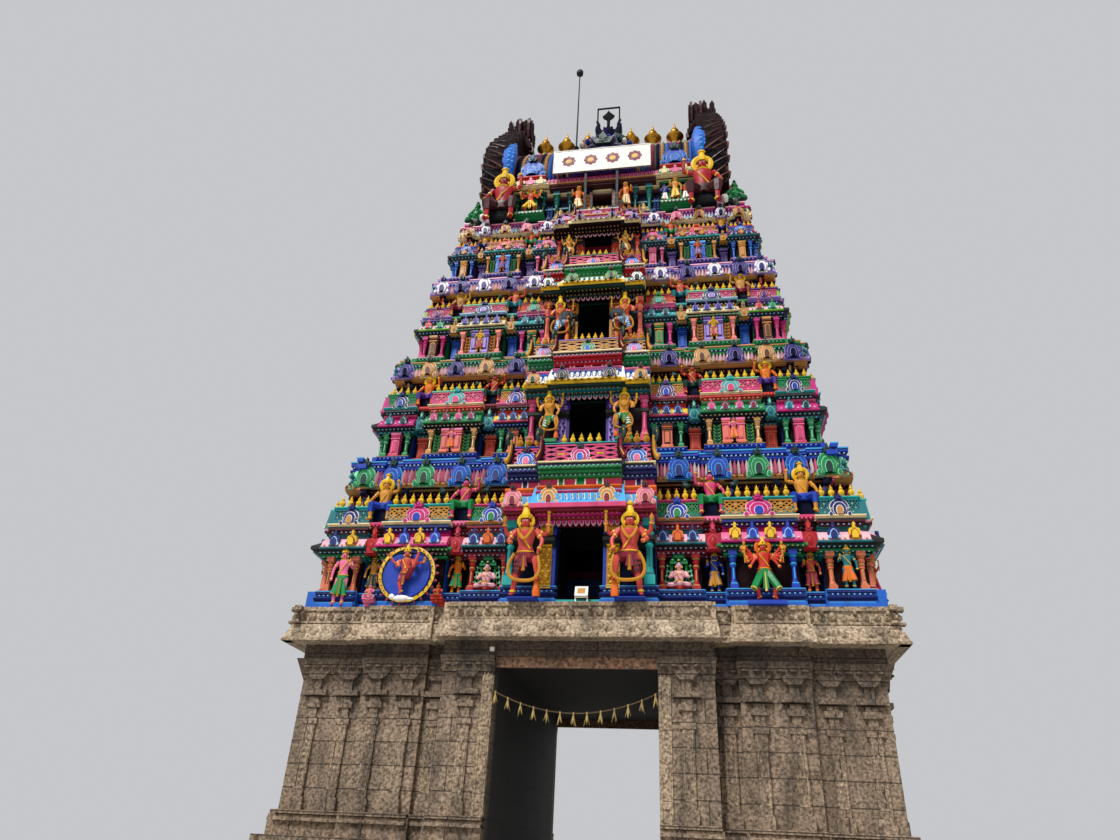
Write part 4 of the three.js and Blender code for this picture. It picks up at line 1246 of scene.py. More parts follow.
class Face:
    """One face of the tower. Places on it are given as a distance along it to the viewer's right, a
    distance out from the tower's middle, and a height."""

    def __init__(self, name):
        degrees, self.drop = FACES[name]
        self.turn = Matrix.Rotation(math.radians(degrees), 4, "Z")

    def out(self, width, reach=0.0, relief=1.0):
        return width - self.drop + reach * relief

    def inside(self, out, deep=0.0):
        return min(out, OUTER_LIMIT[self.drop] - deep)

    def at(self, along, out, height, size, spin=0.0, lean=0.0, flip=1):
        wide, deep, tall = size
        return (
            self.turn @ Matrix.Translation((along, -out, height)) @ Matrix.Rotation(
                math.radians(spin), 4, "Z"
            ) @ Matrix.Rotation(math.radians(lean), 4, "X") @ Matrix.Diagonal((flip * wide, deep, tall, 1))
        )


def bays_of(face_name, s):
    """The bays of a face as (kind, start, end, reach), on the viewer's right; mirror them for the left."""
    if face_name in ("front", "back"):
        found, start = [], s.bay_half
        for kind, share, reach in BAY_ENDS:
            end = share * s.face_w
            found.append((kind, start, end, reach))
            start = end
        found.append(("corner", start, s.face_w, 0.0))
        return found
    inner = s.inner_w - PLAN_DIFFERENCE
    side_bay = inner - SIDE_RECESS
    return [
        ("long", 0.0, side_bay, 0.12), ("outer_recess", side_bay, inner, -0.3),
        ("corner", inner, s.face_w - PLAN_DIFFERENCE, 0.0)
    ]

# Paints of each storey, as the painters chose them. Each row goes from part to part of one kind of
# bay, in the order of the names here, and a dash is a part that isn't there.
PARTS = {
    "storey": "plinth upper cornice crests",
    "corner": "ground shaft pier under roll arches over shelf lattice crest rail",
    "outer_recess": "ground shield column over seat",
    "centre": "ground jamb scroll column hood blocks bands lattice crest rail hood_crest"
}
PARTS["long"] = PARTS["narrow"] = PARTS["corner"]
PARTS["recess"] = PARTS["outer_recess"]
LOOK_ROWS = (
    {
        "storey": "blue navy sky | dark_maroon crimson rose | tan white pink cobalt navy"
                  " | green cobalt green cobalt cobalt",
        "corner": "dark_maroon | salmon tan | - | teal green bottle | pale_pink | navy yellow"
                  " | teal turquoise | maroon cream | teal dark_maroon | navy tan | turquoise",
        "outer_recess": "deep_navy | red vermilion | - | green bottle | rose maroon",
        "long": "dark_maroon | cobalt sky | - | green bottle green | pink | yellow cobalt"
                " | magenta magenta | navy cream | gold dark_maroon | magenta cobalt | turquoise",
        "recess": "black | red rose | - | green bottle | pink maroon",
        "narrow": "black | red tan | - | maroon crimson maroon | pale_pink | navy orange"
                  " | teal turquoise | crimson tan | green dark_maroon | cobalt green | rose",
        "centre": "deep_navy | cobalt | yellow gold | turquoise teal"
                  " | magenta crimson rose sky rose orange | green navy | green navy cream"
                  " | rose deep_navy | magenta blue | turquoise cobalt | pink tan",
    },
    {
        "storey": "cobalt navy tan | dark_maroon bottle tan | tan pale_pink white green bottle"
                  " | navy tan navy tan navy",
        "corner": "black | green mint | rose pink | bottle teal bottle | magenta | teal bottle"
                  " | magenta pink | bottle turquoise | green deep_navy | navy cobalt | green",
        "outer_recess": "black | teal mint | vermilion salmon | navy teal | vermilion maroon",
        "long": "black | tan cream | salmon pink | bottle deep_navy bottle | green | rose crimson"
                " | green mint | vermilion cream | rose bottle | turquoise rose | mint",
        "recess": "black | teal mint | vermilion salmon | navy teal | crimson maroon",
        "narrow": "black | green mint | salmon brown | teal bottle cobalt | yellow | navy navy"
                  " | rose vermilion | maroon pink | gold bottle | purple cobalt | green",
        "centre": "dark_maroon | purple | purple lilac | rose pink"
                  " | teal bottle yellow white blue pink | pink green | red green pale_pink"
                  " | tan dark_maroon | green lilac | lilac teal | tan navy",
    },
    {
        "storey": "green bottle pale_pink | dark_maroon vermilion orange | tan white pale_pink lilac navy"
                  " | white navy white navy white",
        "corner": "black | magenta rose | brown tan | navy bottle navy | pale_pink | vermilion green"
                  " | leaf green | purple lilac | rose bottle | crimson purple | purple",
        "outer_recess": "black | tan green | blue cobalt | green bottle | green bottle",
        "long": "black | salmon pale_pink | lilac purple | green bottle mint | cream | purple purple"
                " | cream yellow | deep_navy pale_blue | rose bottle | navy lilac | mint",
        "recess": "black | tan green | blue cobalt | green bottle | turquoise bottle",
        "narrow": "deep_navy | magenta pink | green gold | bottle teal bottle | turquoise | teal bottle"
                  " | teal turquoise | magenta pink | vermilion tan | green turquoise | crimson",
        "centre": "dark_maroon | gold | gold brown | salmon vermilion"
                  " | black bottle yellow white turquoise cream | vermilion orange | green red lilac"
                  " | rose dark_maroon | rose blue | green rose | white green",
    },
    {
        "storey": "purple navy pale_pink | dark_maroon maroon rose | cream white pale_blue magenta purple"
                  " | gold white gold pink white",
        "corner": "black | cobalt sky | tan gold | deep_navy teal deep_navy | turquoise | navy tan"
                  " | teal green | crimson pink | blue dark_maroon | cobalt sky | rose",
        "outer_recess": "black | gold tan | purple lilac | navy teal | blue navy",
        "long": "dark_maroon | tan gold | cobalt sky | teal bottle teal | green | gold rose"
                " | turquoise green | magenta pale_pink | gold crimson | vermilion gold | pink",
        "recess": "black | gold tan | purple lilac | navy teal | blue navy",
        "narrow": "dark_maroon | pink rose | pink rose | teal bottle teal | teal | rose gold"
                  " | teal turquoise | navy pale_blue | teal maroon | rose pink | cobalt",
        "centre": "maroon | vermilion | vermilion tan | vermilion salmon"
                  " | black dark_maroon cream white rose lilac | navy purple | lilac rose cream"
                  " | rose deep_navy | magenta lilac | white lilac | lilac purple",
    },
)


def read_look(rows):
    """A storey's paints by kind of bay and part. A recess takes what it lacks from the bay beside it."""
    look = {}
    for kind, row in rows.items():
        cells = [tuple(cell.split()) for cell in row.split("|")]
        paints = {
            part: cell if len(cell) > 1 else cell[0] for part, cell in zip(PARTS[kind].split(), cells)
        }
        look[kind] = {part: None if paint == "-" else paint for part, paint in paints.items()}
        look[kind]["dots"] = "cream" if kind == "long" else "pale_blue"
    for kind, beside in (("outer_recess", "corner"), ("recess", "narrow")):
        look[kind] = {**look[beside], **look[kind]}
    storey = look.pop("storey")
    return {**look, **storey}


LOOKS = [read_look(rows) for rows in LOOK_ROWS]


def spaced(middle, wide, pitch):
    """The middles of equal steps that fill a width, as near to the pitch as whole steps allow."""
    count = max(1, round(wide / pitch))
    return [middle + (i + 0.5 - count / 2) * wide / count for i in range(count)]


class Bay:
    """One bay of one face, from its inner end to its outer end, with how far it steps out."""

    def __init__(self, face, storey, look, kind, start, end, reach, way):
        self.face = face
        self.s = storey
        self.paints = look[kind]
        self.storey_paints = look
        self.kind = kind
        self.wide = end - start
        self.along = way * (start + end) / 2
        self.reach = reach
        self.way = way
        self.scale = storey.scale

    def plane(self, width, relief=1.0):
        return self.face.out(getattr(self.s, width), self.reach, relief)

    def bar(self, piece, pattern, low, high, back, front, paint, grow=0.0):
        """Lays a bar all along the bay. In a recess it just goes into the walls beside it."""
        if self.reach < 0:
            grow = 0.03
        place = self.face.at(self.along, back, low, (self.wide + 2 * grow, front - back, high - low))
        piece.lay(pattern, place, body=paint)

    def row(self, piece, pattern, pitch, front, height, size, grow=0.0, shift=0.0, **paints):
        """Lays a pattern all along the bay at a pitch. Paints given as a tuple are taken in turn."""
        for i, along in enumerate(spaced(self.along + shift, self.wide + 2 * grow, pitch)):
            chosen = {role: p[i % len(p)] if isinstance(p, tuple) else p for role, p in paints.items()}
            piece.lay(pattern, self.face.at(along, front, height, size), **chosen)


# How far apart the small repeated ornaments are, in metres, the same on every storey

DOT_PITCH = 0.1
PETAL_PITCH = 0.125
FLUTE_PITCH = 0.085

FLAT = flat_bar()
ROUND = round_bar()
KAPOTA = kapota_bar()
STEP = step_bar()
DENTIL = dentil()
BEAD = bead()
PETAL = petal()
FLUTE = flute()
LATTICE = lattice(4, True)
LATTICE.light = lattice(3, False).shape
BIG_ARCH = big_arch()
SMALL_ARCH = small_arch()
SHIELD_ARCH = shield_arch()
POT = pot()
PILASTER = pilaster()
SQUARE_PIER = square_pier()
SCROLL_PILASTER = scroll_pilaster()
PEDESTAL = pedestal()
LEAF_PANEL = leaf_scroll_panel()
MAKARA = makara_bracket()
SCROLL_GATE = scroll_gate()
FLAME = flame_leaf()
ROSETTE = rosette()
LION = crouching_lion()
STANDING = standing_figure((-0.13, -0.12, 0.66), (0.16, -0.06, 0.42))
PRAISING = standing_figure((-0.015, -0.13, 0.66), (0.015, -0.13, 0.66), (None, None), "bun")
RESTING = standing_figure((-0.12, -0.05, 0.45), (0.2, -0.08, 0.72), (None, "rod"))
GUARDIAN = door_guardian()
SEATED = seated_figure("bun")
SEAT_POSTS = seat_posts()
HALOED = seated_figure("spire", 1.0, 1.15)
MEDITATING = meditating_figure()
DANCER = dancing_figure()
MANY_ARMED = many_armed_figure()

FIGURE_PAINTS = {
    "gold": "yellow", "gem": "red", "hair": "black", "eye": "white", "dark": "black", "lip": "red",
    "halo": "yellow", "prop": "gold", "trim": "gold", "snake": "gold", "club": "orange", "dwarf": "white",
    "stripe": "maroon"
}


def figure(piece, pattern, place, skin, cloth, **more):
    piece.lay(pattern, place, **{**FIGURE_PAINTS, "skin": skin, "cloth": cloth, **more})


def dress_plinth(bay, mouldings):
    """The courses a bay stands on, with a bellied roll and a row of small blocks."""
    s, k = bay.s, bay.scale
    base = bay.plane("plinth_w", 0.6)
    tall = s.plinth - s.floor
    main, second, line = bay.storey_paints["plinth"]
    steps = second if main == "blue" else main
    levels = (
        (FLAT, 0.0, 0.26, 0.06, main), (FLAT, 0.26, 0.33, 0.03, line), (FLAT, 0.33, 0.44, 0.02, second),
        (ROUND, 0.44, 0.66, 0.07, steps), (FLAT, 0.8, 0.94, 0.05, steps), (FLAT, 0.94, 1.0, 0.06, line)
    )
    for pattern, low, high, proud, paint in levels:
        bay.bar(
            mouldings, pattern, s.floor + tall * low, s.floor + tall * high, base - 0.1, base + proud * k,
            paint, proud * k * 0.9
        )
    dot = (0.036, 0.04, 0.022 * k)
    bay.row(mouldings, DENTIL, DOT_PITCH, base, s.floor + tall * 0.7, dot, body="pale_blue")


def dress_eave(bay, mouldings, arches):
    """The stripes under the small roof of a bay, the roof, its arches and the neck above."""
    s, k, paints = bay.s, bay.scale, bay.paints
    face = bay.plane("face_w")
    eave = bay.plane("eave_w", 0.7)
    neck = bay.plane("neck_w", 0.6)
    drop = 0.07 * k
    for step, paint in enumerate(paints["under"]):
        low = s.eave - (3 - step) * drop
        reach = (0.28, 0.52, 0.8)[step] * (eave - face)
        bay.bar(mouldings, FLAT, low + 0.012 * k, low + drop, face - 0.1, face + reach, paint, reach * 0.8)
        if step:
            bay.row(
                mouldings, DENTIL, DOT_PITCH, face + reach, low - 0.008 * k, (0.036, 0.03, 0.018 * k),
                reach * 0.6, body=paints["dots"]
            )
    bay.bar(mouldings, KAPOTA, s.eave, s.eave_top + 0.01, neck - 0.1, eave + 0.03, paints["roll"], 0.1 * k)
    bay.bar(
        mouldings, FLAT, s.eave - 0.005, s.eave + 0.035 * k, neck, eave + 0.045, paints["over"][0], 0.12 * k
    )
    bay.row(
        mouldings, DENTIL, DOT_PITCH * 1.3, eave + 0.03, s.eave + 0.06 * k, (0.04, 0.03, 0.022 * k),
        0.08 * k, body=paints["arches"][1] if paints["roll"] in ("white", "cream", "pale_pink") else "white"
    )
    light_paints = ("yellow", "orange", "gold", "tan", "cream")
    lines = tuple("crimson" if paint in light_paints else "pale_blue" for paint in paints["arches"])
    size = (0.24 * k, 0.15, 0.38 * k)
    bay.row(
        arches, SMALL_ARCH, 0.36 * k, eave - 0.05, s.eave + 0.045 * k, size, body=paints["arches"],
        line=lines
    )
    courses = s.shelf - s.eave_top
    for step, paint in enumerate(paints["over"]):
        low = s.eave_top + courses * 0.42 * step
        bay.bar(
            mouldings, ROUND, low, low + courses * 0.36, neck - 0.1, neck + (0.07 + 0.02 * step) * k, paint,
            0.06 * k
        )


def dress_shelf(bay, mouldings, arches, pots):
    """The ledge over the small roof, with its miniature shrine: trellis, arch, rail and pots."""
    s, k, paints = bay.s, bay.scale, bay.paints
    shelf = bay.plane("shelf_w", 0.6)
    box = bay.plane("parapet_w", 0.6)
    tall = s.parapet - s.shelf
    lower, lip = paints["shelf"]
    bay.bar(
        mouldings, FLAT, s.shelf - 0.1 * k, s.shelf - 0.04 * k, shelf - 0.2, shelf - 0.02, lower, 0.04 * k
    )
    bay.row(
        mouldings, DENTIL, DOT_PITCH, shelf - 0.02, s.shelf - 0.08 * k, (0.036, 0.03, 0.022 * k), 0.02,
        body=paints["dots"]
    )
    bay.bar(
        mouldings, FLAT, s.shelf - 0.035 * k, s.shelf + 0.02 * k, shelf - 0.2, shelf + 0.04 * k, lower,
        0.07 * k
    )
    bay.bar(
        mouldings, STEP, s.shelf + 0.02 * k, s.shelf + 0.11 * k, shelf - 0.2, shelf + 0.08 * k, lip, 0.1 * k
    )
    if bay.kind.endswith("recess"):
        return
    low, high = s.shelf + 0.11 * k, s.parapet
    body, core = paints["crest"]
    bar_paint, back_paint = paints["lattice"]
    arch_wide = min(0.62 * k, bay.wide * 0.55)
    middles = spaced(bay.along, bay.wide, 1.6 * k)
    panel = (bay.wide / len(middles) - arch_wide * 0.7) / 2
    for middle in middles:
        for side in (-1, 1):
            place = bay.face.at(
                middle + side * (arch_wide * 0.35 + panel / 2), box - 0.02, low, (panel, 0.08, high - low)
            )
            arches.lay(LATTICE, place, bar=bar_paint, back=back_paint, stud=lip)
        arches.lay(
            BIG_ARCH, bay.face.at(middle, box + 0.02, low - 0.04 * k, (arch_wide, 0.14, tall * 1.12)),
            body=body, core=core, line="white" if body in ("navy", "cobalt", "purple") else "pale_pink",
            crest=body
        )
    bay.bar(
        mouldings, STEP, high - 0.02 * k, high + 0.07 * k, box - 0.15, box + 0.06 * k, paints["rail"],
        0.05 * k
    )
    bay.row(pots, POT, 0.2 * k, box - 0.02, high + 0.07 * k, (0.14 * k, 0.14 * k, 0.3 * k), body="yellow")


def dress_upper(bay, mouldings):
    """The wall above the miniature shrines, the big cornice with its ribbed roll, and the slab."""
    s, k = bay.s, bay.scale
    ground, flower, line = bay.storey_paints["upper"]
    lip, rib, other_rib, band, band_line = bay.storey_paints["cornice"]
    wall = bay.plane("upper_w", 0.2)
    cornice = bay.plane("cornice_w", 0.3)
    shoulder = bay.plane("shoulder_w", 0.3)
    slab = bay.plane("slab_w", 0.3)
    bay.row(
        mouldings, PETAL, PETAL_PITCH, wall, s.soffit2 - 0.2 * k, (PETAL_PITCH * 0.94, 0.07, 0.16 * k),
        body=flower, rim=line
    )
    bay.bar(mouldings, ROUND, s.soffit2 - 0.28 * k, s.soffit2 - 0.22 * k, wall - 0.05, wall + 0.05, flower)
    bay.bar(
        mouldings, FLAT, s.soffit2 - 0.03 * k, s.soffit2 + 0.02 * k, wall - 0.05, wall + 0.12, ground, 0.05
    )
    bay.row(mouldings, DENTIL, DOT_PITCH, wall + 0.14, s.soffit2, (0.04, 0.05, 0.022 * k), 0.05, body=line)
    bar_top = s.cornice + 0.36 * (s.shoulder - s.cornice)
    bar_middle = (s.cornice + bar_top) / 2
    grow = 0.05 * k if bay.face.drop or bay.kind != "corner" else -0.08
    bay.bar(mouldings, ROUND, s.cornice - 0.03 * k, bar_top, shoulder - 0.1, cornice + 0.04, lip, grow)
    bay.row(
        mouldings, DENTIL, DOT_PITCH * 0.8, cornice + 0.03, bar_middle - 0.03 * k, (0.05, 0.03, 0.05 * k),
        0.03 * k, body=("brown", lip)
    )
    rise = s.shoulder - bar_top + 0.03 * k
    deep = 0.86 * (cornice - shoulder) + 0.02
    corner = 0.15 * k if bay.kind == "corner" else 0.0
    bay.row(
        mouldings, FLUTE, FLUTE_PITCH, shoulder, bar_top - 0.03 * k, (FLUTE_PITCH * 0.96, deep, rise),
        -corner, -bay.way * corner, body=(rib, other_rib)
    )
    tall = s.slab - s.shoulder
    bay.bar(
        mouldings, ROUND, s.shoulder - 0.01, s.shoulder + tall * 0.36, slab - 0.2, slab + 0.05, band, 0.04
    )
    bay.bar(
        mouldings, FLAT, s.shoulder + tall * 0.36, s.shoulder + tall * 0.62, slab - 0.1, slab + 0.01,
        band_line
    )
    bay.row(
        mouldings, DENTIL, DOT_PITCH, slab + 0.01, s.shoulder + tall * 0.44, (0.038, 0.03, 0.036 * k),
        body="pale_blue"
    )
    bay.bar(mouldings, FLAT, s.shoulder + tall * 0.62, s.slab - 0.03, slab - 0.1, slab + 0.05, band, 0.04)
    bay.bar(
        mouldings, FLAT, s.slab - 0.03, s.slab + 0.005, slab - 0.1, slab + 0.07,
        bay.storey_paints["plinth"][2], 0.05
    )


SKINS = ("flesh", "green", "honey", "cobalt", "vermilion", "tan", "pink", "teal", "yellow", "rose")
CLOTHS = (
    "turquoise", "vermilion", "green", "magenta", "cobalt", "white", "orange", "red", "purple", "yellow"
)


def turn_of(bay, storey_number, extra=0):
    """A steady number for each bay, so that figures differ from bay to bay but never by chance."""
    kinds = ("narrow", "recess", "long", "outer_recess", "corner")
    return storey_number * 7 + kinds.index(bay.kind) * 3 + (0 if bay.way > 0 else 2) + extra


# Skin and cloth of the figures on the long walls of the first storey
WALL_FIGURES = {
    ("recess", -1): ("orange", "green"), ("outer_recess", -1): ("honey", "bottle"),
    ("corner", -1): ("pink", "green"), ("recess", 1): ("cobalt", "gold"),
    ("outer_recess", 1): ("flesh", "crimson"), ("corner", 1): ("teal", "orange")
}


def dress_wall(bay, number, columns, figures):
    """What stands between the plinth and the small roof of a bay."""
    s, k, paints = bay.s, bay.scale, bay.paints
    foot, head = s.plinth, s.soffit + 0.01
    tall = head - foot
    face = bay.plane("face_w")
    at = bay.face.at
    pick = turn_of(bay, number)
    skin, cloth = SKINS[pick % 10], CLOTHS[(pick * 3 + 1) % 10]
    with_disc = number == 0 and bay.face.drop > 0 and bay.kind == "long" and bay.way < 0
    if number == 0 and bay.face.drop:
        skin, cloth = WALL_FIGURES.get((bay.kind, bay.way), (skin, cloth))
    bay.bar(columns, FLAT, foot, head, face - 0.1, face + 0.012, paints["ground"])
    if bay.kind in ("recess", "outer_recess"):
        if paints["column"]:
            body, line = paints["column"]
            columns.lay(
                SQUARE_PIER, at(bay.along, face, foot, (bay.wide * 0.62, 0.2, tall)), body=body, line=line
            )
        else:
            size = (tall * 1.3, tall * 1.2, tall * 1.14)
            figure(
                figures, STANDING, at(bay.along, face + 0.24, foot + 0.01, size, flip=bay.way), skin, cloth
            )
        body, line = paints["shield"]
        eave = bay.plane("eave_w", 0.7)
        columns.lay(
            SHIELD_ARCH, at(bay.along, eave + 0.02, s.eave - 0.12 * k, (0.36 * k, 0.18, 0.66 * k)),
            body=body, line=line
        )
        return
    shaft, ring_paint = paints["shaft"]
    wide = 0.17 * k
    edge = bay.wide / 2 - wide * 0.62
    for side in () if with_disc else (-1, 1):
        place = at(bay.along + side * edge, face, foot, (wide, 0.2 * k, tall))
        columns.lay(PILASTER, place, body=shaft, line=ring_paint)
    if bay.kind == "corner":
        if paints["pier"]:
            body, line = paints["pier"]
            columns.lay(
                SQUARE_PIER, at(bay.along, face, foot, (bay.wide * 0.34, 0.24 * k, tall)), body=body,
                line=line
            )
        else:
            size = (tall * 1.3, tall * 1.2, tall * 1.14)
            pattern = STANDING if bay.face.drop else RESTING
            place = at(bay.along, face + 0.24, foot, size, flip=bay.way)
            if bay.face.drop and bay.way < 0:
                place = at(
                    bay.along + 0.1, bay.plane("plinth_w", 0.6) + 0.03, s.floor + 0.02, (1.36, 1.1, 1.36),
                    flip=-1
                )
            figure(figures, pattern, place, skin, cloth)
    elif bay.kind == "long":
        dress_long_wall(bay, number, columns, figures, foot, tall, face)
    elif number == 0:
        size = (bay.wide * 0.62, 0.22, tall * 0.98)
        columns.lay(SCROLL_GATE, at(bay.along, face, foot, size), body="green", line="mint")
        figure(
            figures, MEDITATING, at(bay.along, face + 0.16, foot + 0.06, (1.2, 1.1, 1.2)), "pale_pink",
            "red"
        )
    else:
        body, line = paints["pier"]
        columns.lay(
            SQUARE_PIER, at(bay.along, face, foot, (bay.wide * 0.34, 0.22 * k, tall)), body=body, line=line
        )


def dress_long_wall(bay, number, columns, figures, foot, tall, face):
    """A long bay: piers, leafy panels and standing figures. On the first storey's front it holds the
    dancer on a disc at the left and the ten-armed figure at the right."""
    at = bay.face.at
    paints = bay.paints
    on_front = bay.face.drop > 0
    if number == 0 and on_front and bay.way < 0:
        ledge = bay.plane("plinth_w", 0.6)
        floor = bay.s.floor
        place = at(bay.along, ledge + 0.02, floor + 0.68, (1.26, 0.3, 1.26))
        columns.lay(DISC, place, body="navy", core="cobalt", ring="yellow", dot="navy", flame="crimson")
        size = tall * 1.54
        figure(
            figures, DANCER, at(bay.along, ledge + 0.22, floor + 0.03, (size, size * 0.7, size)), "flesh",
            "crimson"
        )
        for side, skin in ((-1, "pink"), (1, "vermilion")):
            along = bay.along + side * 0.74
            lay_bar(columns, bay.face, STEP, along, 0.24, floor, floor + 0.16, face, ledge + 0.22, skin)
            place = at(along, ledge + 0.14, floor + 0.16, (0.62, 0.6, 0.62))
            figure(figures, MEDITATING, place, skin, "maroon" if side > 0 else "white")
        return
    if number == 0 and on_front:
        lay_bar(figures, bay.face, FLAT, bay.along, 0.72, 5.93, 6.02, face + 0.1, face + 0.46, "cobalt")
        place = at(bay.along, face + 0.3, 6.02, (1.3, 1.2, 1.3))
        figure(figures, MANY_ARMED, place, "vermilion", "green", halo="orange", trim="lemon")
        return
    body, line = paints["pier"] or paints["shaft"]
    spread = bay.wide * (0.13 if on_front else 0.16)
    for side in (-1, 1):
        place = at(bay.along + side * spread, face, foot, (0.24 * bay.scale, 0.24 * bay.scale, tall))
        columns.lay(SQUARE_PIER, place, body=body, line=line)
        panel = (0.24 * bay.scale, 0.12, tall * 0.86)
        place = at(bay.along + side * bay.wide * 0.29, face, foot, panel)
        body_here, line_here, back = ("green", "leaf", "bottle") if number % 2 else ("gold", "tan", "brown")
        columns.lay(LEAF_PANEL, place, body=body_here, line=line_here, back=back)
    if not on_front:
        size = tall * 1.2
        for side, pattern in ((-1, STANDING), (1, RESTING)):
            place = at(bay.along + side * bay.wide * 0.4, face + 0.14, foot, (size, size, size), flip=side)
            figure(figures, pattern, place, SKINS[(number + 3 * side) % 10], CLOTHS[(number + side) % 10])
    size = tall * 1.15
    place = at(bay.along, face + 0.16, foot, (size, size, size))
    figure(figures, PRAISING, place, SKINS[(number * 2 + 4) % 10], CLOTHS[(number + 5) % 10])


def sun_disc():
    """A round plaque with a rope border and flame tips, behind the dancer."""
    parts = [
        disc(0, 0, 0.5, 0, 0.3, "body", 28), disc(0, -0.02, 0.4, 0.2, 0.4, "core", 24),
        ring((0, -0.35, 0), 0.455, 0.036, "ring", (math.radians(90), 0, 0), 28)
    ]
    for step in range(26):
        a = 2 * math.pi * step / 26
        x, z = math.cos(a), math.sin(a)
        parts.append(ball((0.455 * x, -0.48, 0.455 * z), (0.03, 0.12, 0.03), "dot"))
        bend = (0.525 * x - 0.02 * z, -0.3, 0.525 * z + 0.02 * x)
        flame = [(0.48 * x, -0.25, 0.48 * z), bend, (0.56 * x, -0.3, 0.56 * z)]
        parts.append(tube(flame, [0.035, 0.026, 0.004], "flame", 4))
    return Pattern(parts)


DISC = sun_disc()


def dress_seat(bay, number, figures):
    """A seated figure over a recess: a petalled cushion on the ledge, carved posts, and a dark back."""
    s, k = bay.s, bay.scale
    ledge = bay.plane("shelf_w", 0.6)
    wall = bay.plane("parapet_w", 0.6)
    body, rim = bay.paints["seat"]
    at = bay.face.at
    foot = s.shelf + 0.02
    bay.bar(figures, FLAT, foot, s.parapet + 0.02, wall - 0.1, wall + 0.02, "black")
    wide = 0.58 * k
    figures.lay(
        PEDESTAL, at(bay.along, ledge - 0.2 * k, foot, (wide, 0.36 * k, 0.15 * k)), body=body, rim=rim
    )
    figures.lay(
        FLAT, at(bay.along, ledge - 0.22 * k, foot, (wide * 0.62, 0.24 * k, 0.52 * k)), body="deep_navy"
    )
    haloed = bay.kind == "outer_recess"
    size = 1.44 * k
    place = at(bay.along, ledge - 0.02 * k, foot + 0.54 * k, (size, size, size), flip=bay.way)
    skins = ("honey", "orange", "tan", "gold") if haloed else ("rose", "red", "flesh", "vermilion")
    cloths = ("cobalt", "purple", "crimson", "navy") if haloed else ("green", "bottle", "teal", "green")
    pick = number if bay.face.drop else turn_of(bay, number, 4)
    skin, cloth = skins[pick % 4], cloths[pick % 4]
    figure(figures, HALOED if haloed else SEATED, place, skin, cloth, trim=cloth)
    place = at(bay.along, ledge - 0.04 * k, foot + 0.1 * k, (1.0 * k, 0.9 * k, 0.94 * k), flip=bay.way)
    figures.lay(SEAT_POSTS, place, post="navy", other="maroon", head="deep_navy" if haloed else "bottle")


# The heart and the outlines of a large arch, for each paint of its body
ARCH_LINES = {
    "green": ("bottle", "mint"), "cobalt": ("navy", "sky"), "navy": ("deep_navy", "lilac"),
    "tan": ("brown", "cream"), "white": ("navy", "lilac"), "gold": ("crimson", "cream"),
    "pink": ("magenta", "cream")
}


def cornice_arches(face, storey, look, arches):
    """The large arches along the big cornice."""
    k = storey.scale
    half = face.out(storey.cornice_w)
    shares = (0.95, 0.83, 0.685, 0.53, 0.375) if face.drop else (0.93, 0.52)
    full = storey.cornice_w if face.drop else storey.cornice_w - PLAN_DIFFERENCE
    for i, share in enumerate(shares):
        for way in (-1, 1):
            body = look["crests"][i % 5]
            core, line = ARCH_LINES[body]
            place = face.at(
                way * share * full, half - 0.02, storey.cornice + 0.02, (0.52 * k, 0.2, 0.76 * k)
            )
            arches.lay(
                BIG_ARCH, place, body=body, core=core, line=line,
                crest="bottle" if body != "white" else "navy"
            )
    if face.drop == 0:
        place = face.at(0, half + 0.02, storey.cornice + 0.02, (0.62 * k, 0.22, 0.86 * k))
        arches.lay(BIG_ARCH, place, body="magenta", core="navy", line="cream", crest="magenta")


def corner_lions(storey, ornaments):
    """A small beast on each corner of the big cornice."""
    k = storey.scale
    front = Face("front")
    for turn in (0, 90, 180, 270):
        wide, deep = storey.cornice_w, storey.cornice_w - PLAN_DIFFERENCE
        if turn in (90, 270):
            wide, deep = deep, wide
        place = Matrix.Rotation(math.radians(turn), 4, "Z") @ front.at(
            wide - 0.12, deep - 0.1, storey.cornice + 0.12, (0.3 * k, 0.3 * k, 0.34 * k), spin=45
        )
        ornaments.lay(LION, place, body="teal", line="mint")


def lay_bar(piece, face, pattern, along, wide, low, high, back, front, paint):
    piece.lay(pattern, face.at(along, back, low, (wide, front - back, high - low)), body=paint)


# A guardian of each storey: its distance from the middle, the height it stands at, its size, its paints
GUARDIANS = (
    (1.06, 5.99, 1.9, "flesh", "crimson", "maroon"), (0.87, 9.88, 1.24, "honey", "green", "white"),
    (0.83, 12.93, 1.34, "flesh", "pale_blue", "navy"), (0.79, 16.04, 0.84, "honey", "cream", "gold")
)


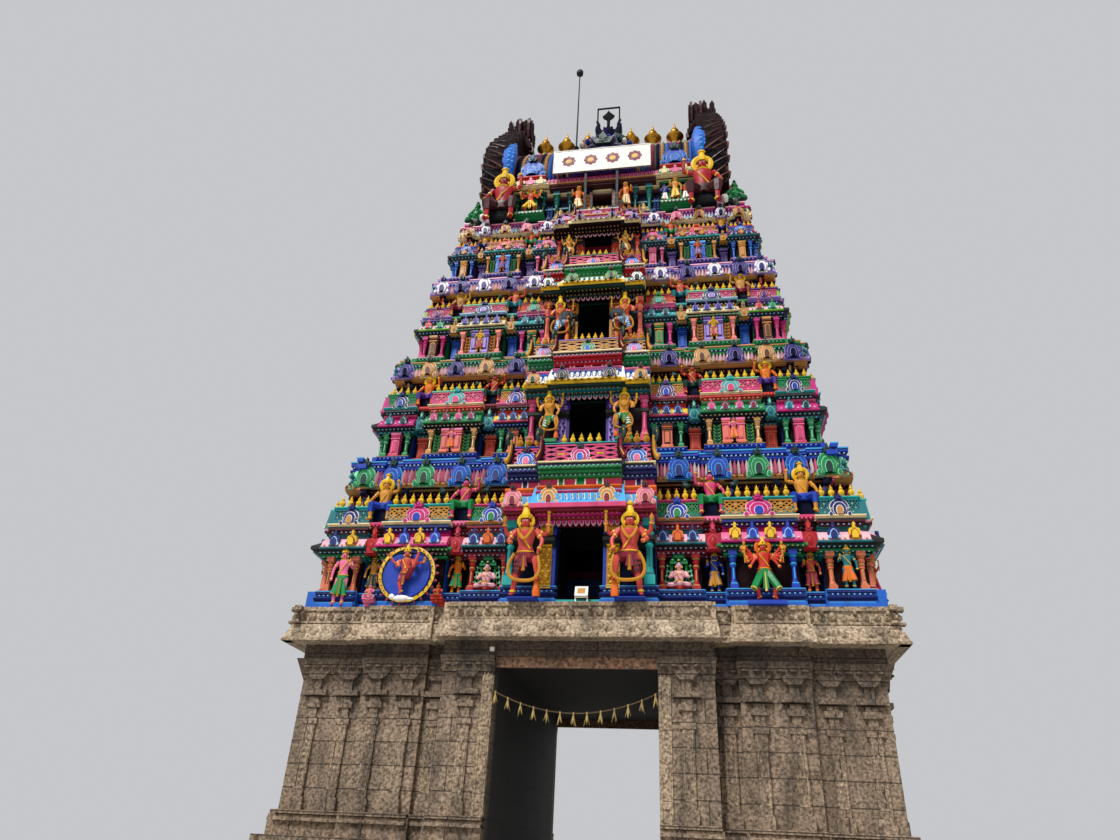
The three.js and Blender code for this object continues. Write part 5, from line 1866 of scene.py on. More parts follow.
def dress_door(face, s, look, number, columns, figures):
    """The jambs, scroll pilasters, guardians and columns beside a doorway."""
    k = s.scale
    wall = face.out(s.face_w, s.bay_reach)
    paints = look["centre"]
    foot, head = s.plinth, s.door_top
    sill_top = s.floor + 0.09 * k
    lay_bar(columns, face, FLAT, 0, 2 * s.door_half, s.floor, sill_top, wall - 0.3, wall + 0.1, "turquoise")
    if number == 3:
        half = s.door_half
        lay_bar(columns, face, FLAT, 0, 2 * half, head - 0.36, head, wall - 0.34, wall - 0.28, "crimson")
        lay_bar(
            columns, face, FLAT, 0, 2 * half, head - 0.4, head - 0.36, wall - 0.34, wall - 0.26, "orange"
        )
    inner = face.out(s.inner_w)
    # Black linings on the doorway's ceiling and reveals: painted shade inside the opening. The front of the
    # first door's reveals is its own navy paint.
    lay_bar(columns, face, FLAT, 0, 2 * s.door_half, head - 0.015, head, inner, wall, "black")
    for side in (-1, 1):
        along = side * (s.door_half + 0.01)
        lay_bar(columns, face, FLAT, along, 0.03, s.floor, head, inner, wall - 0.3, "black")
        lay_bar(
            columns, face, FLAT, along, 0.03, s.floor, head, wall - 0.3, wall, "black" if number else "navy"
        )
    along, stand, size, skin, cloth, stripe = GUARDIANS[number]
    for side in (-1, 1):
        near = s.door_half
        wide = s.bay_half - near
        middle = side * (near + wide / 2)
        lay_bar(columns, face, FLAT, middle, wide, foot, head, wall - 0.1, wall + 0.012, paints["ground"])
        middle = side * (near + 0.04 * k)
        lay_bar(
            columns, face, FLAT, middle, 0.08 * k, s.floor, head, wall - 0.12, wall + 0.05 * k,
            paints["jamb"]
        )
        body, line = paints["scroll"]
        place = face.at(
            side * (near + 0.21 * k), wall, foot - 0.05, (0.27 * k, 0.12 * k, head - foot + 0.05)
        )
        columns.lay(SCROLL_PILASTER, place, body=body, line=line)
        body, line = paints["column"]
        place = face.at(side * (s.bay_half - 0.12 * k), wall, foot, (0.24 * k, 0.22 * k, head - foot))
        columns.lay(PILASTER, place, body=body, line=line)
        ahead_of_wall = 0.3 if number == 0 else 0.22
        lay_bar(
            columns, face, STEP, side * along, 0.32 * size, s.floor - 0.02, stand, wall - 0.1,
            wall + ahead_of_wall + 0.08 * size, "cobalt" if number == 0 else paints["bands"][1]
        )
        place = face.at(
            side * along, wall + ahead_of_wall, stand, (size, size * 0.8, size), lean=5, flip=-side
        )
        figure(figures, GUARDIAN, place, skin, cloth, stripe=stripe)


def dress_hood(face, s, look, hood):
    """The roof over a doorway and the balcony that stands on it. The middle of both steps forward."""
    k = s.scale
    wall = face.out(s.face_w, s.bay_reach)
    paints = look["centre"]
    step_half = s.bay_half * 0.55
    forward = 0.13
    spans = ((-step_half, step_half, forward), (-s.bay_half, -step_half, 0.0), (step_half, s.bay_half, 0.0))
    first, second, lip, leaf, roll, edge = paints["hood"]

    def course(pattern, low, high, proud, paint, side_paint=None, back=0.3):
        """A course right across, and the same course further forward in the middle."""
        sides = side_paint or paint
        lay_bar(
            hood, face, pattern, 0, 2 * s.bay_half + 0.1, low, high, wall + proud - back, wall + proud,
            sides
        )
        lay_bar(
            hood, face, pattern, 0, 2 * step_half + 0.08, low, high, wall,
            face.inside(wall + proud + forward), paint
        )

    def along_front(pattern, pitch, height, proud, size, **chosen):
        for start, end, out in spans:
            for along in spaced((start + end) / 2, end - start, pitch):
                place = face.at(along, face.inside(wall + proud + out, size[1]), height, size)
                hood.lay(pattern, place, **chosen)

    base, top = s.door_top, s.hood_top
    roof = base + 0.2
    rise = top - roof
    along_front(
        PETAL, PETAL_PITCH, base - 0.18 * k, 0.1, (PETAL_PITCH * 0.94, 0.07, 0.13 * k), body=first,
        rim="pale_pink"
    )
    course(FLAT, base - 0.06 * k, base - 0.01 * k, 0.2, second)
    course(FLAT, base, base + 0.04, 0.31, first)
    course(FLAT, base + 0.05, base + 0.09, 0.43, second)
    along_front(DENTIL, DOT_PITCH, base + 0.02, 0.31, (0.036, 0.03, 0.018), body="tan")
    along_front(DENTIL, DOT_PITCH, base - 0.035 * k, 0.2, (0.036, 0.03, 0.018), body="tan")
    course(STEP, base + 0.09, roof, 0.52, lip)
    along_front(DENTIL, DOT_PITCH * 1.5, base + 0.15, 0.52, (0.07, 0.02, 0.03), body="brown")
    course(ROUND, roof, roof + 0.5 * rise, 0.42, leaf)
    course(ROUND, roof + 0.46 * rise, roof + 0.74 * rise, 0.42, roll)
    course(ROUND, roof + 0.72 * rise, top + 0.02, 0.36, edge)
    petal_size = (PETAL_PITCH * 0.94, 0.05, 0.42 * rise)
    along_front(
        PETAL, PETAL_PITCH, roof + 0.02, 0.41, petal_size, body=leaf,
        rim="white" if leaf != "white" else roll
    )
    for side in (-1, 1):
        outer_paint, inner_paint = paints["hood_crest"]
        for along, out, paint in ((0.39, forward, inner_paint), (0.89, 0.0, outer_paint)):
            front = wall + 0.42 + out
            deep = min(0.16, OUTER_LIMIT[face.drop] - front)
            place = face.at(side * along * s.bay_half, front, base + 0.17, (0.42 * k, deep, 0.54 * k))
            hood.lay(
                BIG_ARCH, place, body=paint, core=second,
                line="navy" if paint in ("white", "lilac") else "cream", crest="maroon"
            )

    slab = top + 0.48 * (s.balcony - top)
    middle_paint, side_paint = paints["blocks"]
    blocks = (
        (0.0, 0.2, middle_paint), (0.27, 0.12, middle_paint), (0.55, 0.14, side_paint),
        (0.79, 0.12, side_paint)
    )
    for share, wide, paint in blocks:
        for side in (-1, 1) if share else (1,):
            out = wall + 0.11 + (forward if share < 0.5 else 0)
            middle = side * share * s.bay_half
            lay_bar(hood, face, FLAT, middle, wide * k, top - 0.02, slab + 0.02, wall - 0.1, out, paint)
            for border in (-0.5, 0.5):
                along = middle + border * wide * k
                lay_bar(
                    hood, face, FLAT, along, 0.03 * k, top - 0.02, slab + 0.02, wall - 0.1, out + 0.015,
                    "white"
                )
    band = (s.balcony - slab) / 3
    for i in range(3):
        proud = 0.13 + 0.07 * (i + 1)
        low = slab + band * i
        course(FLAT, low + 0.15 * band, low + band, proud, paints["bands"][0], paints["bands"][1])
        if i != 1:
            along_front(
                DENTIL, DOT_PITCH, low + 0.6 * band, proud, (0.036, 0.03, 0.3 * band), body="pale_blue"
            )
    foot, head = s.balcony + 0.1, s.rail
    course(STEP, s.balcony, foot, 0.37, "cream" if lip != "cream" else "tan")

    bar_paint, back_paint = paints["lattice"]
    middle_arch, side_arch = paints["crest"]
    for start, end, out in spans:
        place = face.at((start + end) / 2, wall + 0.19 + out, foot, (end - start, 0.07, head - foot))
        hood.lay(LATTICE, place, bar=bar_paint, back=back_paint, stud="yellow")
    arches = (
        (0, forward, middle_arch, "blue"), (-0.775, 0.0, side_arch, "pink"), (0.775, 0.0, side_arch, "pink")
    )
    for share, out, paint, inner in arches:
        place = face.at(
            share * s.bay_half, wall + 0.22 + out, foot - 0.02, (0.48 * k, 0.14, 1.1 * (head - foot))
        )
        hood.lay(
            BIG_ARCH, place, body=paint, core=inner, line="white",
            crest="bottle" if share == 0 else "maroon"
        )
    course(STEP, head - 0.02, head + 0.05 * k, 0.25, paints["rail"][0], paints["rail"][1], 0.2)
    pot_foot = head + 0.05 * k
    for i in range(5):
        place = face.at((i - 2) * 0.19 * k, wall + 0.17 + forward, pot_foot, (0.13 * k, 0.13 * k, 0.27 * k))
        hood.lay(POT, place, body="yellow")
    for side in (-1, 1):
        for share in (0.64, 0.77, 0.9):
            place = face.at(
                side * share * s.bay_half, wall + 0.15, pot_foot, (0.18 * k, 0.18 * k, 0.36 * k)
            )
            hood.lay(POT, place, body="gold")
        for along, out, body in ((step_half, forward, "crimson"), (s.bay_half, 0.0, "gold")):
            place = face.at(side * along, wall + 0.2 + out, foot, (0.24 * k, 0.3 * k, 0.76 * k), flip=side)
            hood.lay(MAKARA, place, head="bottle", tail=body, wing="dark_maroon", line="yellow")


def dress_storey(number, s, look):
    """All the carving of one storey, gathered into one piece for each kind of carving."""
    name = f"storey{number + 1}"
    kinds = ("mouldings", "columns", "roof_arches", "pots", "figures", "hood_carving")
    mouldings, columns, arches, pots, figures, hood = [
        Piece(f"{name}_{kind}", "painted_stucco") for kind in kinds
    ]
    for face_name in FACES:
        face = Face(face_name)
        for kind, start, end, reach in bays_of(face_name, s):
            ways = (1, -1) if start else (0,)
            for way in ways:
                begin = start if start else -end
                bay = Bay(face, s, look, kind, begin, end, reach, way or 1)
                dress_plinth(bay, mouldings)
                dress_wall(bay, number, columns, figures)
                dress_eave(bay, mouldings, arches)
                dress_shelf(bay, mouldings, arches, pots)
                dress_upper(bay, mouldings)
                if kind in ("recess", "outer_recess"):
                    dress_seat(bay, number, figures)
        cornice_arches(face, s, look, arches)
        if face.drop:
            dress_door(face, s, look, number, columns, figures)
            dress_hood(face, s, look, hood)
            for way in (-1, 1):
                bay = Bay(face, s, look, "centre", s.door_half, s.bay_half, s.bay_reach, way)
                dress_plinth(bay, mouldings)
    corner_lions(s, arches)
    for piece in (mouldings, columns, arches, pots, figures, hood):
        piece.cast()


for number, (storey, look) in enumerate(zip(STOREYS, LOOKS)):
    dress_storey(number, storey, look)


# The neck, the barrel roof and its gables


def vault_half(share, swell=0.0):
    """A point (out, height) on the front half of the vault, from the eave at 0 to the ridge at 1."""
    rise = ROOF_CROWN - ROOF_SPRINGING
    half = ROOF_HALF
    knots = ((half, 0.0), (half * 1.16, 0.3 * rise), (half * 1.02, 0.62 * rise), (0.0, rise))
    left = 1 - share
    weights = (left**3, 3 * left**2 * share, 3 * left * share**2, share**3)
    out = sum(w * k[0] for w, k in zip(weights, knots))
    high = ROOF_SPRINGING + sum(w * k[1] for w, k in zip(weights, knots))
    return out + swell * (1 - share**3), high + swell * share**3


def vault_rib():
    """A beaded rib over the vault from the front eave to the back eave."""
    steps = 30
    front = [vault_half(i / steps, 0.02) for i in range(steps + 1)]
    points = [(0, -out, high) for out, high in front] + [
        (0, out, high) for out, high in reversed(front[:-1])
    ]
    return Pattern([rod(points, [0.056 if i % 2 else 0.038 for i in range(len(points))])])


def scaly_band():
    """The blue crescent on the rim of a gable, covered with scales."""
    steps = 12
    parts = [
        tube(
            [
                (0, -out, high)
                for out, high in (gable_point(0.1 + 0.5 * i / steps) for i in range(steps + 1))
            ],
            [0.05 + 0.2 * math.sin(math.pi * i / steps) for i in range(steps + 1)], "body", 8
        )
    ]
    rows = 24
    for i in range(1, rows):
        out, high = gable_point(0.1 + 0.5 * i / rows)
        swell = math.sin(math.pi * i / rows)
        for column in (-1, 0, 1):
            shift = 0.03 * (i % 2) + 0.11 * column * swell
            place = (shift, -out - 0.21 * swell + 0.06 * abs(column), high)
            parts.append(ball(place, (0.13, 0.1, 0.13), ("body", "scale")[i % 2]))
    return Pattern(parts)


def gable_point(share):
    """A point (out, height) on the gable's outline, from the foot at 0 to the tip at 1."""
    half = 1.5 + 0.42 * math.sin(math.pi * min(1, share * 1.35)) * (1 - share * 0.35)
    return half * (1 - share**3), 19.3 + 4.7 * share


def gable_frame(side, share, along_x, tilt, size):
    """A place on a gable's rim: a leaf laid there points away from the roof, tilted up the rim."""
    out, high = gable_point(abs(share))
    out_next, high_next = gable_point(min(1, abs(share) + 0.01))
    way = -1 if share > 0 else 1
    up = Vector((0, way * (out_next - out), high_next - high)).normalized()
    outward = Vector((0, way * up.z, -way * up.y))
    outward = outward if outward.z >= 0 or abs(share) < 0.3 else -outward
    point = Vector((side, 0, 0)) * math.cos(tilt) + up * math.sin(tilt)
    across = (-outward).cross(point)
    wide, deep, tall = size
    turn = Matrix((across * wide, -outward * deep, point * tall)).transposed().to_4x4()
    return Matrix.Translation((along_x, way * out, high)) @ turn


RIB = vault_rib()
SCALY_BAND = scaly_band()


# Ribs over the vault: how far apart they are, and their paints in turn
RIB_PITCH = 0.1475
RIB_PAINTS = ("crimson", "deep_navy", "tan", "blue", "purple")


def dress_vault():
    """Ribs over the barrel vault, and its eaves with their arches, on the front and on the back."""
    roof = Piece("roof_vault_ribs", "painted_stucco")
    eaves = Piece("roof_eaves_and_arches", "painted_stucco")
    for i, x in enumerate(spaced(0, 2 * NECK_HALF, RIB_PITCH)):
        roof.lay(RIB, placed((x, 0, 0)), body=RIB_PAINTS[i % 5])
    for name in ("front", "back"):
        face = Face(name)
        whole = 2 * NECK_HALF
        bars = (
            (FLAT, 19.6, 19.64, 1.3, 1.68, "maroon"), (STEP, 19.64, 19.75, 1.3, 1.75, "tan"),
            (FLAT, 19.5, 19.57, 1.2, 1.5, "cream"), (ROUND, 19.36, 19.48, 1.2, 1.45, "maroon"),
            (KAPOTA, 19.75, 20.1, 1.3, 1.67, "magenta"), (ROUND, 20.08, 20.17, 1.3, 1.58, "navy")
        )
        for pattern, low, high, back, front, paint in bars:
            lay_bar(eaves, face, pattern, 0, whole, low, high, back, front, paint)
        for along in spaced(0, whole, 0.123):
            eaves.lay(
                PETAL, face.at(along, 1.63, 19.76, (0.12, 0.08, 0.2)), body="magenta", rim="pale_pink"
            )
        for side in (-1, 1):
            at = 2.22 * side
            eaves.lay(
                BIG_ARCH, face.at(at, 1.6, 20.12, (0.86, 0.24, 0.9)), body="cobalt", core="blue",
                line="sky", crest="bottle"
            )
            lay_bar(eaves, face, STEP, at, 0.9, 20.0, 20.12, 1.4, 1.78, "vermilion")
            for step in range(3):
                place = face.at(at + (step - 1) * 0.32, 1.74, 19.66, (0.36, 0.14, 0.36))
                eaves.lay(
                    SMALL_ARCH, place, body=("cream", "pink", "cream")[step],
                    line=("green", "crimson", "green")[step]
                )
            lay_bar(eaves, face, STEP, at, 1.15, 19.58, 19.68, 1.35, 1.84, "cream")
        eaves.lay(
            BIG_ARCH, face.at(0, 1.6, 20.1, (2.0, 0.22, 1.72)), body="deep_navy", core="dark_maroon",
            line="purple", crest="bottle"
        )
        for i in range(13):
            along = (i - 6) * 0.17
            lift = 21.72 - abs(i - 6) ** 2 * 0.016
            eaves.lay(
                BEAD, face.at(along, 1.62, lift, (0.17, 0.3, 0.17)),
                body=("lilac", "bottle", "white", "cobalt")[i % 4]
            )
        for side in (-1, 1):
            for i in range(14):
                along = side * (0.42 + 0.18 * i)
                eaves.lay(
                    SMALL_ARCH, face.at(along, 0.16, 22.74, (0.15, 0.12, 0.14)),
                    body=("green", "rose")[i % 2], line="cream"
                )
        lay_bar(eaves, face, ROUND, 0, whole, 22.62, 22.7, 0.1, 0.27, "tan")
        lay_bar(eaves, face, FLAT, 0, whole, 22.7, 22.83, 0.1, 0.21, "green")
    roof.cast()
    eaves.cast()


# The horns that crown a gable: height of the tip, foot's distance from the middle, lean and width
HORNS = ((24.86, 3.04, -0.03, 0.46), (24.95, 3.3, 0.0, 0.3), (24.88, 3.5, 0.06, 0.3))
HORN_FOOT = 23.6


def dress_gables():
    """Shingled leaves, a scaly blue rim and a horned hood on each gable, and a niche on its outer face."""
    leaves = Piece("gable_leaves", "dark_stucco")
    rims = Piece("gable_blue_rims", "painted_stucco")
    niches = Piece("gable_niches", "painted_stucco")
    rows = 9
    for side in (-1, 1):
        for way in (1, -1):
            for i in range(rows):
                share = way * (i + 0.2) / (rows + 0.4)
                reach = 0.85 - 0.2 * (i / rows) ** 3
                for offset, tilt, wide, shorter in ((0.0, 0.66, 0.54, 1.04), (0.22, 0.46, 0.46, 0.72)):
                    size = (wide, 0.22, reach * shorter)
                    frame_here = gable_frame(side, share, side * (3.1 + offset), tilt, size)
                    leaves.lay(
                        FLAME, frame_here, body="black" if i % 3 == 1 else "dark_maroon",
                        rim="maroon" if i % 2 else "brown"
                    )
            place = placed((side * 2.99, 0, 0), 0 if way > 0 else math.pi)
            rims.lay(SCALY_BAND, place, body="blue", scale="sky")
        for tip, foot, lean, wide in HORNS:
            horn = (wide, 0.4, tip - HORN_FOOT)
            for y in (0.1, 0.3):
                place = placed((side * foot, y, HORN_FOOT), side * lean, "Y", horn)
                leaves.lay(FLAME, place, body="dark_maroon", rim="maroon")
        for x, way in ((3.12, side), (2.88, -side)):
            place = placed((side * x, 0, HORN_FOOT + 0.02), way * math.pi / 2)
            for y, tall in ((0.0, 1.26), (-0.22, 0.98), (0.22, 0.98)):
                spread = placed((y, 0, 0), y * 0.6, "Y", (0.36, 0.16, tall))
                leaves.lay(FLAME, place @ spread, body="dark_maroon", rim="maroon")
        for y in (-0.12, 0.3):
            place = placed((side * 3.1, y, HORN_FOOT + 0.2), side * -2.67, "Y", (0.36, 0.3, 1.0))
            leaves.lay(FLAME, place, body="dark_maroon", rim="maroon")
        face = Face("right" if side > 0 else "left")
        niches.lay(
            BIG_ARCH, face.at(0, 3.34, 19.9, (2.7, 0.3, 3.1)), body="dark_maroon", core="deep_navy",
            line="gold", crest="maroon"
        )
        niches.lay(PEDESTAL, face.at(0, 3.45, 19.95, (1.2, 0.45, 0.4)), body="rose", rim="maroon")
        figure(niches, HALOED, face.at(0, 3.72, 20.35, (2.1, 2.1, 2.1)), "cobalt", "yellow")
        for way in (-1, 1):
            niches.lay(
                PILASTER, face.at(way * 1.05, 3.36, 18.3, (0.3, 0.32, 1.6)), body="salmon", line="tan"
            )
            figure(
                niches, STANDING, face.at(way * 0.62, 3.6, 18.25, (1.45, 1.45, 1.45), flip=way), "green",
                "orange"
            )
        niches.lay(PILASTER, face.at(0, 3.36, 18.3, (0.34, 0.34, 1.6)), body="teal", line="mint")
        lay_bar(niches, face, STEP, 0, 2.7, 19.72, 19.92, 3.3, 3.78, "tan")
        for way in (-1, 1):
            niches.lay(
                BIG_ARCH, face.at(way * 0.95, 3.7, 19.75, (0.5, 0.14, 0.55)), body="magenta", core="navy",
                line="cream", crest="green"
            )
    for piece in (leaves, rims, niches):
        piece.cast()


# Pilasters of the neck: distance from the middle, and paints
NECK_PILASTERS = (
    (1.0, "bottle", "teal"), (1.42, "teal", "green"), (1.84, "bottle", "teal"), (2.66, "bottle", "green")
)


def dress_neck():
    """Pilasters, panels and figures round the neck, which stands on the top of the last storey."""
    walls = Piece("neck_pilasters", "painted_stucco")
    figures = Piece("neck_figures", "painted_stucco")
    for name in ("front", "back"):
        face = Face(name)
        for side in (-1, 1):
            lay_bar(walls, face, FLAT, side * 0.345, 0.09, NECK_FOOT, 19.45, 1.4, 1.56, "brown")
            for step in range(7):
                lay_bar(
                    walls, face, ROUND, side * 0.5, 0.22, 18.3 + 0.16 * step, 18.38 + 0.16 * step, 1.4,
                    1.58, "tan"
                )
            for x, shaft, line in NECK_PILASTERS:
                walls.lay(PILASTER, face.at(side * x, 1.36, 18.3, (0.2, 0.22, 1.28)), body=shaft, line=line)
            for low in (18.3, 18.42, 18.95):
                paint = "teal" if low > 18.4 else "navy"
                lay_bar(walls, face, FLAT, side * 1.45, 1.1, low, low + 0.07, 1.3, 1.42, paint)
            walls.lay(
                LEAF_PANEL, face.at(side * 1.63, 1.36, 18.52, (0.2, 0.08, 0.6)), body="cobalt", line="teal",
                back="black"
            )
            walls.lay(
                SQUARE_PIER, face.at(side * 2.2, 1.5, 18.55, (0.74, 0.12, 1.05)), body="black", line="green"
            )
            lay_bar(walls, face, STEP, side * 2.2, 0.9, 18.4, 18.56, 1.4, 1.86, "green")
            for i in range(8):
                along = side * 2.2 + (i - 3.5) * 0.11
                walls.lay(DENTIL, face.at(along, 1.86, 18.47, (0.06, 0.03, 0.04)), body="white")
            place = face.at(side * 2.2, 1.68, 18.58, (1.1, 1.1, 1.1), flip=side)
            figure(
                figures, MANY_ARMED if side < 0 else STANDING, place, "vermilion" if side < 0 else "honey",
                "yellow"
            )
            if side > 0:
                for way, skin in ((-1, "cobalt"), (1, "vermilion")):
                    place = face.at(side * 2.2 + way * 0.3, 1.66, 18.58, (0.85, 0.85, 0.85), flip=way)
                    figure(figures, PRAISING, place, skin, "white")
            figure(
                figures, STANDING, face.at(side * 0.73, 1.62, 18.5, (1.2, 1.2, 1.2), flip=-side), "orange",
                "cream"
            )
            place = face.at(side * 3.02, 1.92, 18.69, (2.6, 2.0, 2.78), flip=side)
            figure(figures, HALOED, place, "red", "maroon", trim="maroon")
            figures.lay(FLAT, face.at(side * 3.02, 1.35, NECK_FOOT, (0.7, 0.62, 0.48)), body="black")
            figures.lay(BEAD, face.at(side * 3.1, 1.72, 18.34, (1.1, 0.36, 0.24)), body="pale_pink")
            figures.lay(BEAD, face.at(side * 3.62, 1.78, 18.5, (0.24, 0.3, 0.3)), body="white")
            place = face.at(side * 3.95, 1.42, 18.62, (1.55, 1.5, 1.85), flip=side)
            figure(figures, MEDITATING, place, "green", "bottle", hair="deep_navy", gold="green")
            figure(
                figures, MEDITATING, face.at(side * 1.25, 1.62, 18.28, (0.95, 0.95, 0.95)), "cream", "navy"
            )
            figure(
                figures, MEDITATING, face.at(side * 0.36, 1.66, 18.3, (0.8, 0.8, 0.8)), "lilac", "bottle"
            )
            place = face.at(side * 0.72, 1.78, 17.98, (0.36, 0.3, 0.26))
            figures.lay(POT, place, body="turquoise")
            lay_bar(figures, face, FLAT, side * 0.72, 0.36, NECK_FOOT, 18.32, 1.5, 1.78, "turquoise")
            figures.lay(POT, face.at(side * 0.72, 1.66, 18.3, (0.26, 0.24, 0.28)), body="turquoise")
    walls.cast()
    figures.cast()


# How far apart the finials stand, and the height of their feet
FINIAL_PITCH = 0.75
FINIAL_FOOT = 22.85


def lay_finials():
    """Seven gilded pots on the ridge: a bowl with a broad rim and a ringed cone."""
    profile = [
        (0, 0.19), (0.05, 0.2), (0.11, 0.12), (0.2, 0.14), (0.28, 0.21), (0.36, 0.26), (0.41, 0.295),
        (0.44, 0.3), (0.46, 0.27), (0.52, 0.21), (0.57, 0.13), (0.61, 0.1), (0.63, 0.165), (0.66, 0.165),
        (0.69, 0.11), (0.72, 0.145), (0.76, 0.135), (0.84, 0.085), (0.9, 0.04), (0.93, 0.05), (0.97, 0.04),
        (1.1, 0.016), (1.22, 0.003)
    ]
    pot_shape = Pattern([turned(profile, 20, "gilded_copper")])
    finials = Piece("ridge_finials", "gilded_copper")
    for i in range(7):
        finials.lay(pot_shape, placed(((i - 3) * FINIAL_PITCH, 0, FINIAL_FOOT)))
    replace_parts(finials.cast(), *[f"finial_{i + 1}" for i in range(7)])


dress_vault()
dress_gables()
dress_neck()
lay_finials()

# The granite base

BASE_FACE = 5.7
GATE_HALF = 1.56
BASE_BAYS = {
    "front": ((GATE_HALF, 2.6, 0.45), (2.6, 3.05, 0.0), (3.05, 4.35, 0.13), (4.35, 5.7, 0.0)),
    "right": ((0.0, 1.5, 0.13), (1.5, 3.3, 0.0))
}
BASE_BAYS["back"] = BASE_BAYS["front"]
BASE_BAYS["left"] = BASE_BAYS["right"]


def stone_pilaster():
    """A flat pilaster of the base: foot, shaft, ringed neck, wide plate and a bracket."""
    parts = [
        slab(0.38, 0.8, 0, 0.1, "body", 0.02), slab(0.28, 0.5, 0.1, 0.62, "body", 0.03),
        slab(0.36, 0.7, 0.56, 0.6), slab(0.22, 0.42, 0.62, 0.67),
        slab(0.4, 0.72, 0.67, 0.71, "body", 0.012), slab(0.26, 0.5, 0.71, 0.74),
        slab(0.62, 1.0, 0.75, 0.785, "body", 0.01), slab(0.22, 0.5, 0.785, 0.86),
        plate(
            [(-0.62, 0.95), (-0.62, 0.91), (-0.3, 0.86), (0.3, 0.86), (0.62, 0.91), (0.62, 0.95)], 0, 0.95
        )
    ]
    return Pattern(parts)


def carved_panel():
    """A shallow panel with a border, a column of knots and two small discs."""
    parts = [
        slab(0.5, 0.4, 0, 0.03), slab(0.5, 0.4, 0.97, 1), block((-0.5, -0.4, 0.03), (-0.4, 0, 0.97)),
        block((0.4, -0.4, 0.03), (0.5, 0, 0.97))
    ]
    for step in range(5):
        z = 0.12 + step * 0.19
        parts.append(ball((0, -0.2, z), (0.34, 0.9, 0.08)))
        for side in (-1, 1):
            parts.append(ball((side * 0.22, -0.15, z + 0.09), (0.18, 0.7, 0.06)))
    return Pattern(parts)


STONE_PILASTER = stone_pilaster()
CARVED_PANEL = carved_panel()


# Distances between repeated carvings of the base, and half the width of its cornice, in metres
BASE_PILASTER_PITCH = 0.72
BASE_BEAD_PITCH = 0.2
MEDALLION_PITCH = 0.95
FRIEZE_PITCH = 0.19
BASE_CORNICE = 6.14
# Ledges on the walls of the base: from what height to what height, and how far out
BASE_LEDGES = (
    (2.06, 2.13, 0.16), (1.94, 2.0, 0.2), (1.5, 1.56, 0.34), (4.62, 4.72, 0.06), (4.8, 4.9, 0.13)
)
# The bosses of one medallion: distance along the cornice, height and size
MEDALLION = ((0, 5.44, 0.28), (-0.2, 5.38, 0.17), (0.2, 5.38, 0.17), (0, 5.3, 0.12))


def dress_base():
    """Pilasters and carved panels on the walls, medallions and a frieze on the cornice, and a carved
    border round the gateway."""
    shafts = Piece("base_pilasters", "granite")
    carving = Piece("base_carving", "granite")
    frieze = Piece("base_frieze", "granite")
    stone = "carved_granite"
    for name, bays in BASE_BAYS.items():
        face = Face(name)
        for start, end, reach in bays:
            wide = end - start
            for way in (-1, 1):
                middle = way * (start + end) / 2
                wall = face.out(BASE_FACE, reach)
                for along in spaced(middle, wide, BASE_PILASTER_PITCH):
                    shafts.lay(
                        STONE_PILASTER, face.at(along, wall, 2.08, (0.4, 0.11, 2.84)), body="wall_granite"
                    )
                    carving.lay(
                        CARVED_PANEL, face.at(along, wall + 0.05, 2.5, (0.17, 0.03, 1.2)), body=stone
                    )
                for low, high, proud in BASE_LEDGES:
                    lay_bar(
                        carving, face, FLAT, middle, wide, low, high, wall - 0.1, wall + proud,
                        "wall_granite"
                    )
                for along in spaced(middle, wide, BASE_BEAD_PITCH):
                    carving.lay(
                        BEAD, face.at(along, wall + 0.13, 4.76, (0.17, 0.1, 0.07)), body="wall_granite"
                    )
        spread = BASE_CORNICE - (0 if face.drop else PLAN_DIFFERENCE)
        first_bay = (0.0, *bays[0][1:])
        cornice_bays = [first_bay, *bays[1:-1], (bays[-1][0], spread, 0.0)]
        for start, end, reach in cornice_bays:
            for way in (-1, 1):
                wide = end - start
                middle = way * (start + end) / 2
                lip = face.out(BASE_CORNICE, reach, 0.9)
                top = face.out(BASE_CORNICE - 0.18, reach, 0.8)
                for low, high, front in ((5.6, 5.65, top + 0.05), (5.86, 5.95, top + 0.04)):
                    lay_bar(frieze, face, FLAT, middle, wide, low, high, top - 0.1, front, "carved_granite")
                lay_bar(
                    frieze, face, FLAT, middle, wide, 5.212, 5.27, lip - 0.2, face.inside(lip + 0.02),
                    "carved_granite"
                )
                for along in spaced(middle, wide, MEDALLION_PITCH):
                    for shift, height, size in MEDALLION:
                        front = face.inside(lip - (height - 5.24) * 0.3, 0.06)
                        frieze.lay(
                            BEAD, face.at(along + shift, front, height, (size, 0.12, size)), body=stone
                        )
                for i, along in enumerate(spaced(middle, wide, FRIEZE_PITCH)):
                    worn = (i * 7 % 5) / 4
                    size = (0.12 + 0.06 * worn, 0.1 + 0.04 * worn, 0.13 + 0.08 * worn)
                    frieze.lay(BEAD, face.at(along, top + 0.01, 5.73 + 0.03 * worn, size), body=stone)
                    if i % 3 == 1:
                        frieze.lay(BEAD, face.at(along, top + 0.07, 5.81, (0.09, 0.12, 0.12)), body=stone)
        if face.drop:
            gate = face.out(BASE_FACE, 0.45)
            for side in (-1, 1):
                lay_bar(
                    carving, face, FLAT, side * (GATE_HALF + 0.12), 0.22, 0.0, 4.9, gate - 0.06,
                    gate + 0.03, "carved_granite"
                )
                for step in range(4):
                    place = face.at(
                        side * (GATE_HALF + 0.12), gate + 0.03, 0.2 + 1.15 * step, (0.16, 0.03, 1.05)
                    )
                    carving.lay(CARVED_PANEL, place, body=stone)
            lay_bar(
                carving, face, FLAT, 0, 2 * GATE_HALF + 0.3, 4.72, 4.92, gate - 0.06, gate + 0.02,
                "red_granite"
            )
    for piece in (shafts, carving, frieze):
        piece.cast()


dress_base()

# Fittings: the board, the frame over the ridge, the loudspeakers and the garland


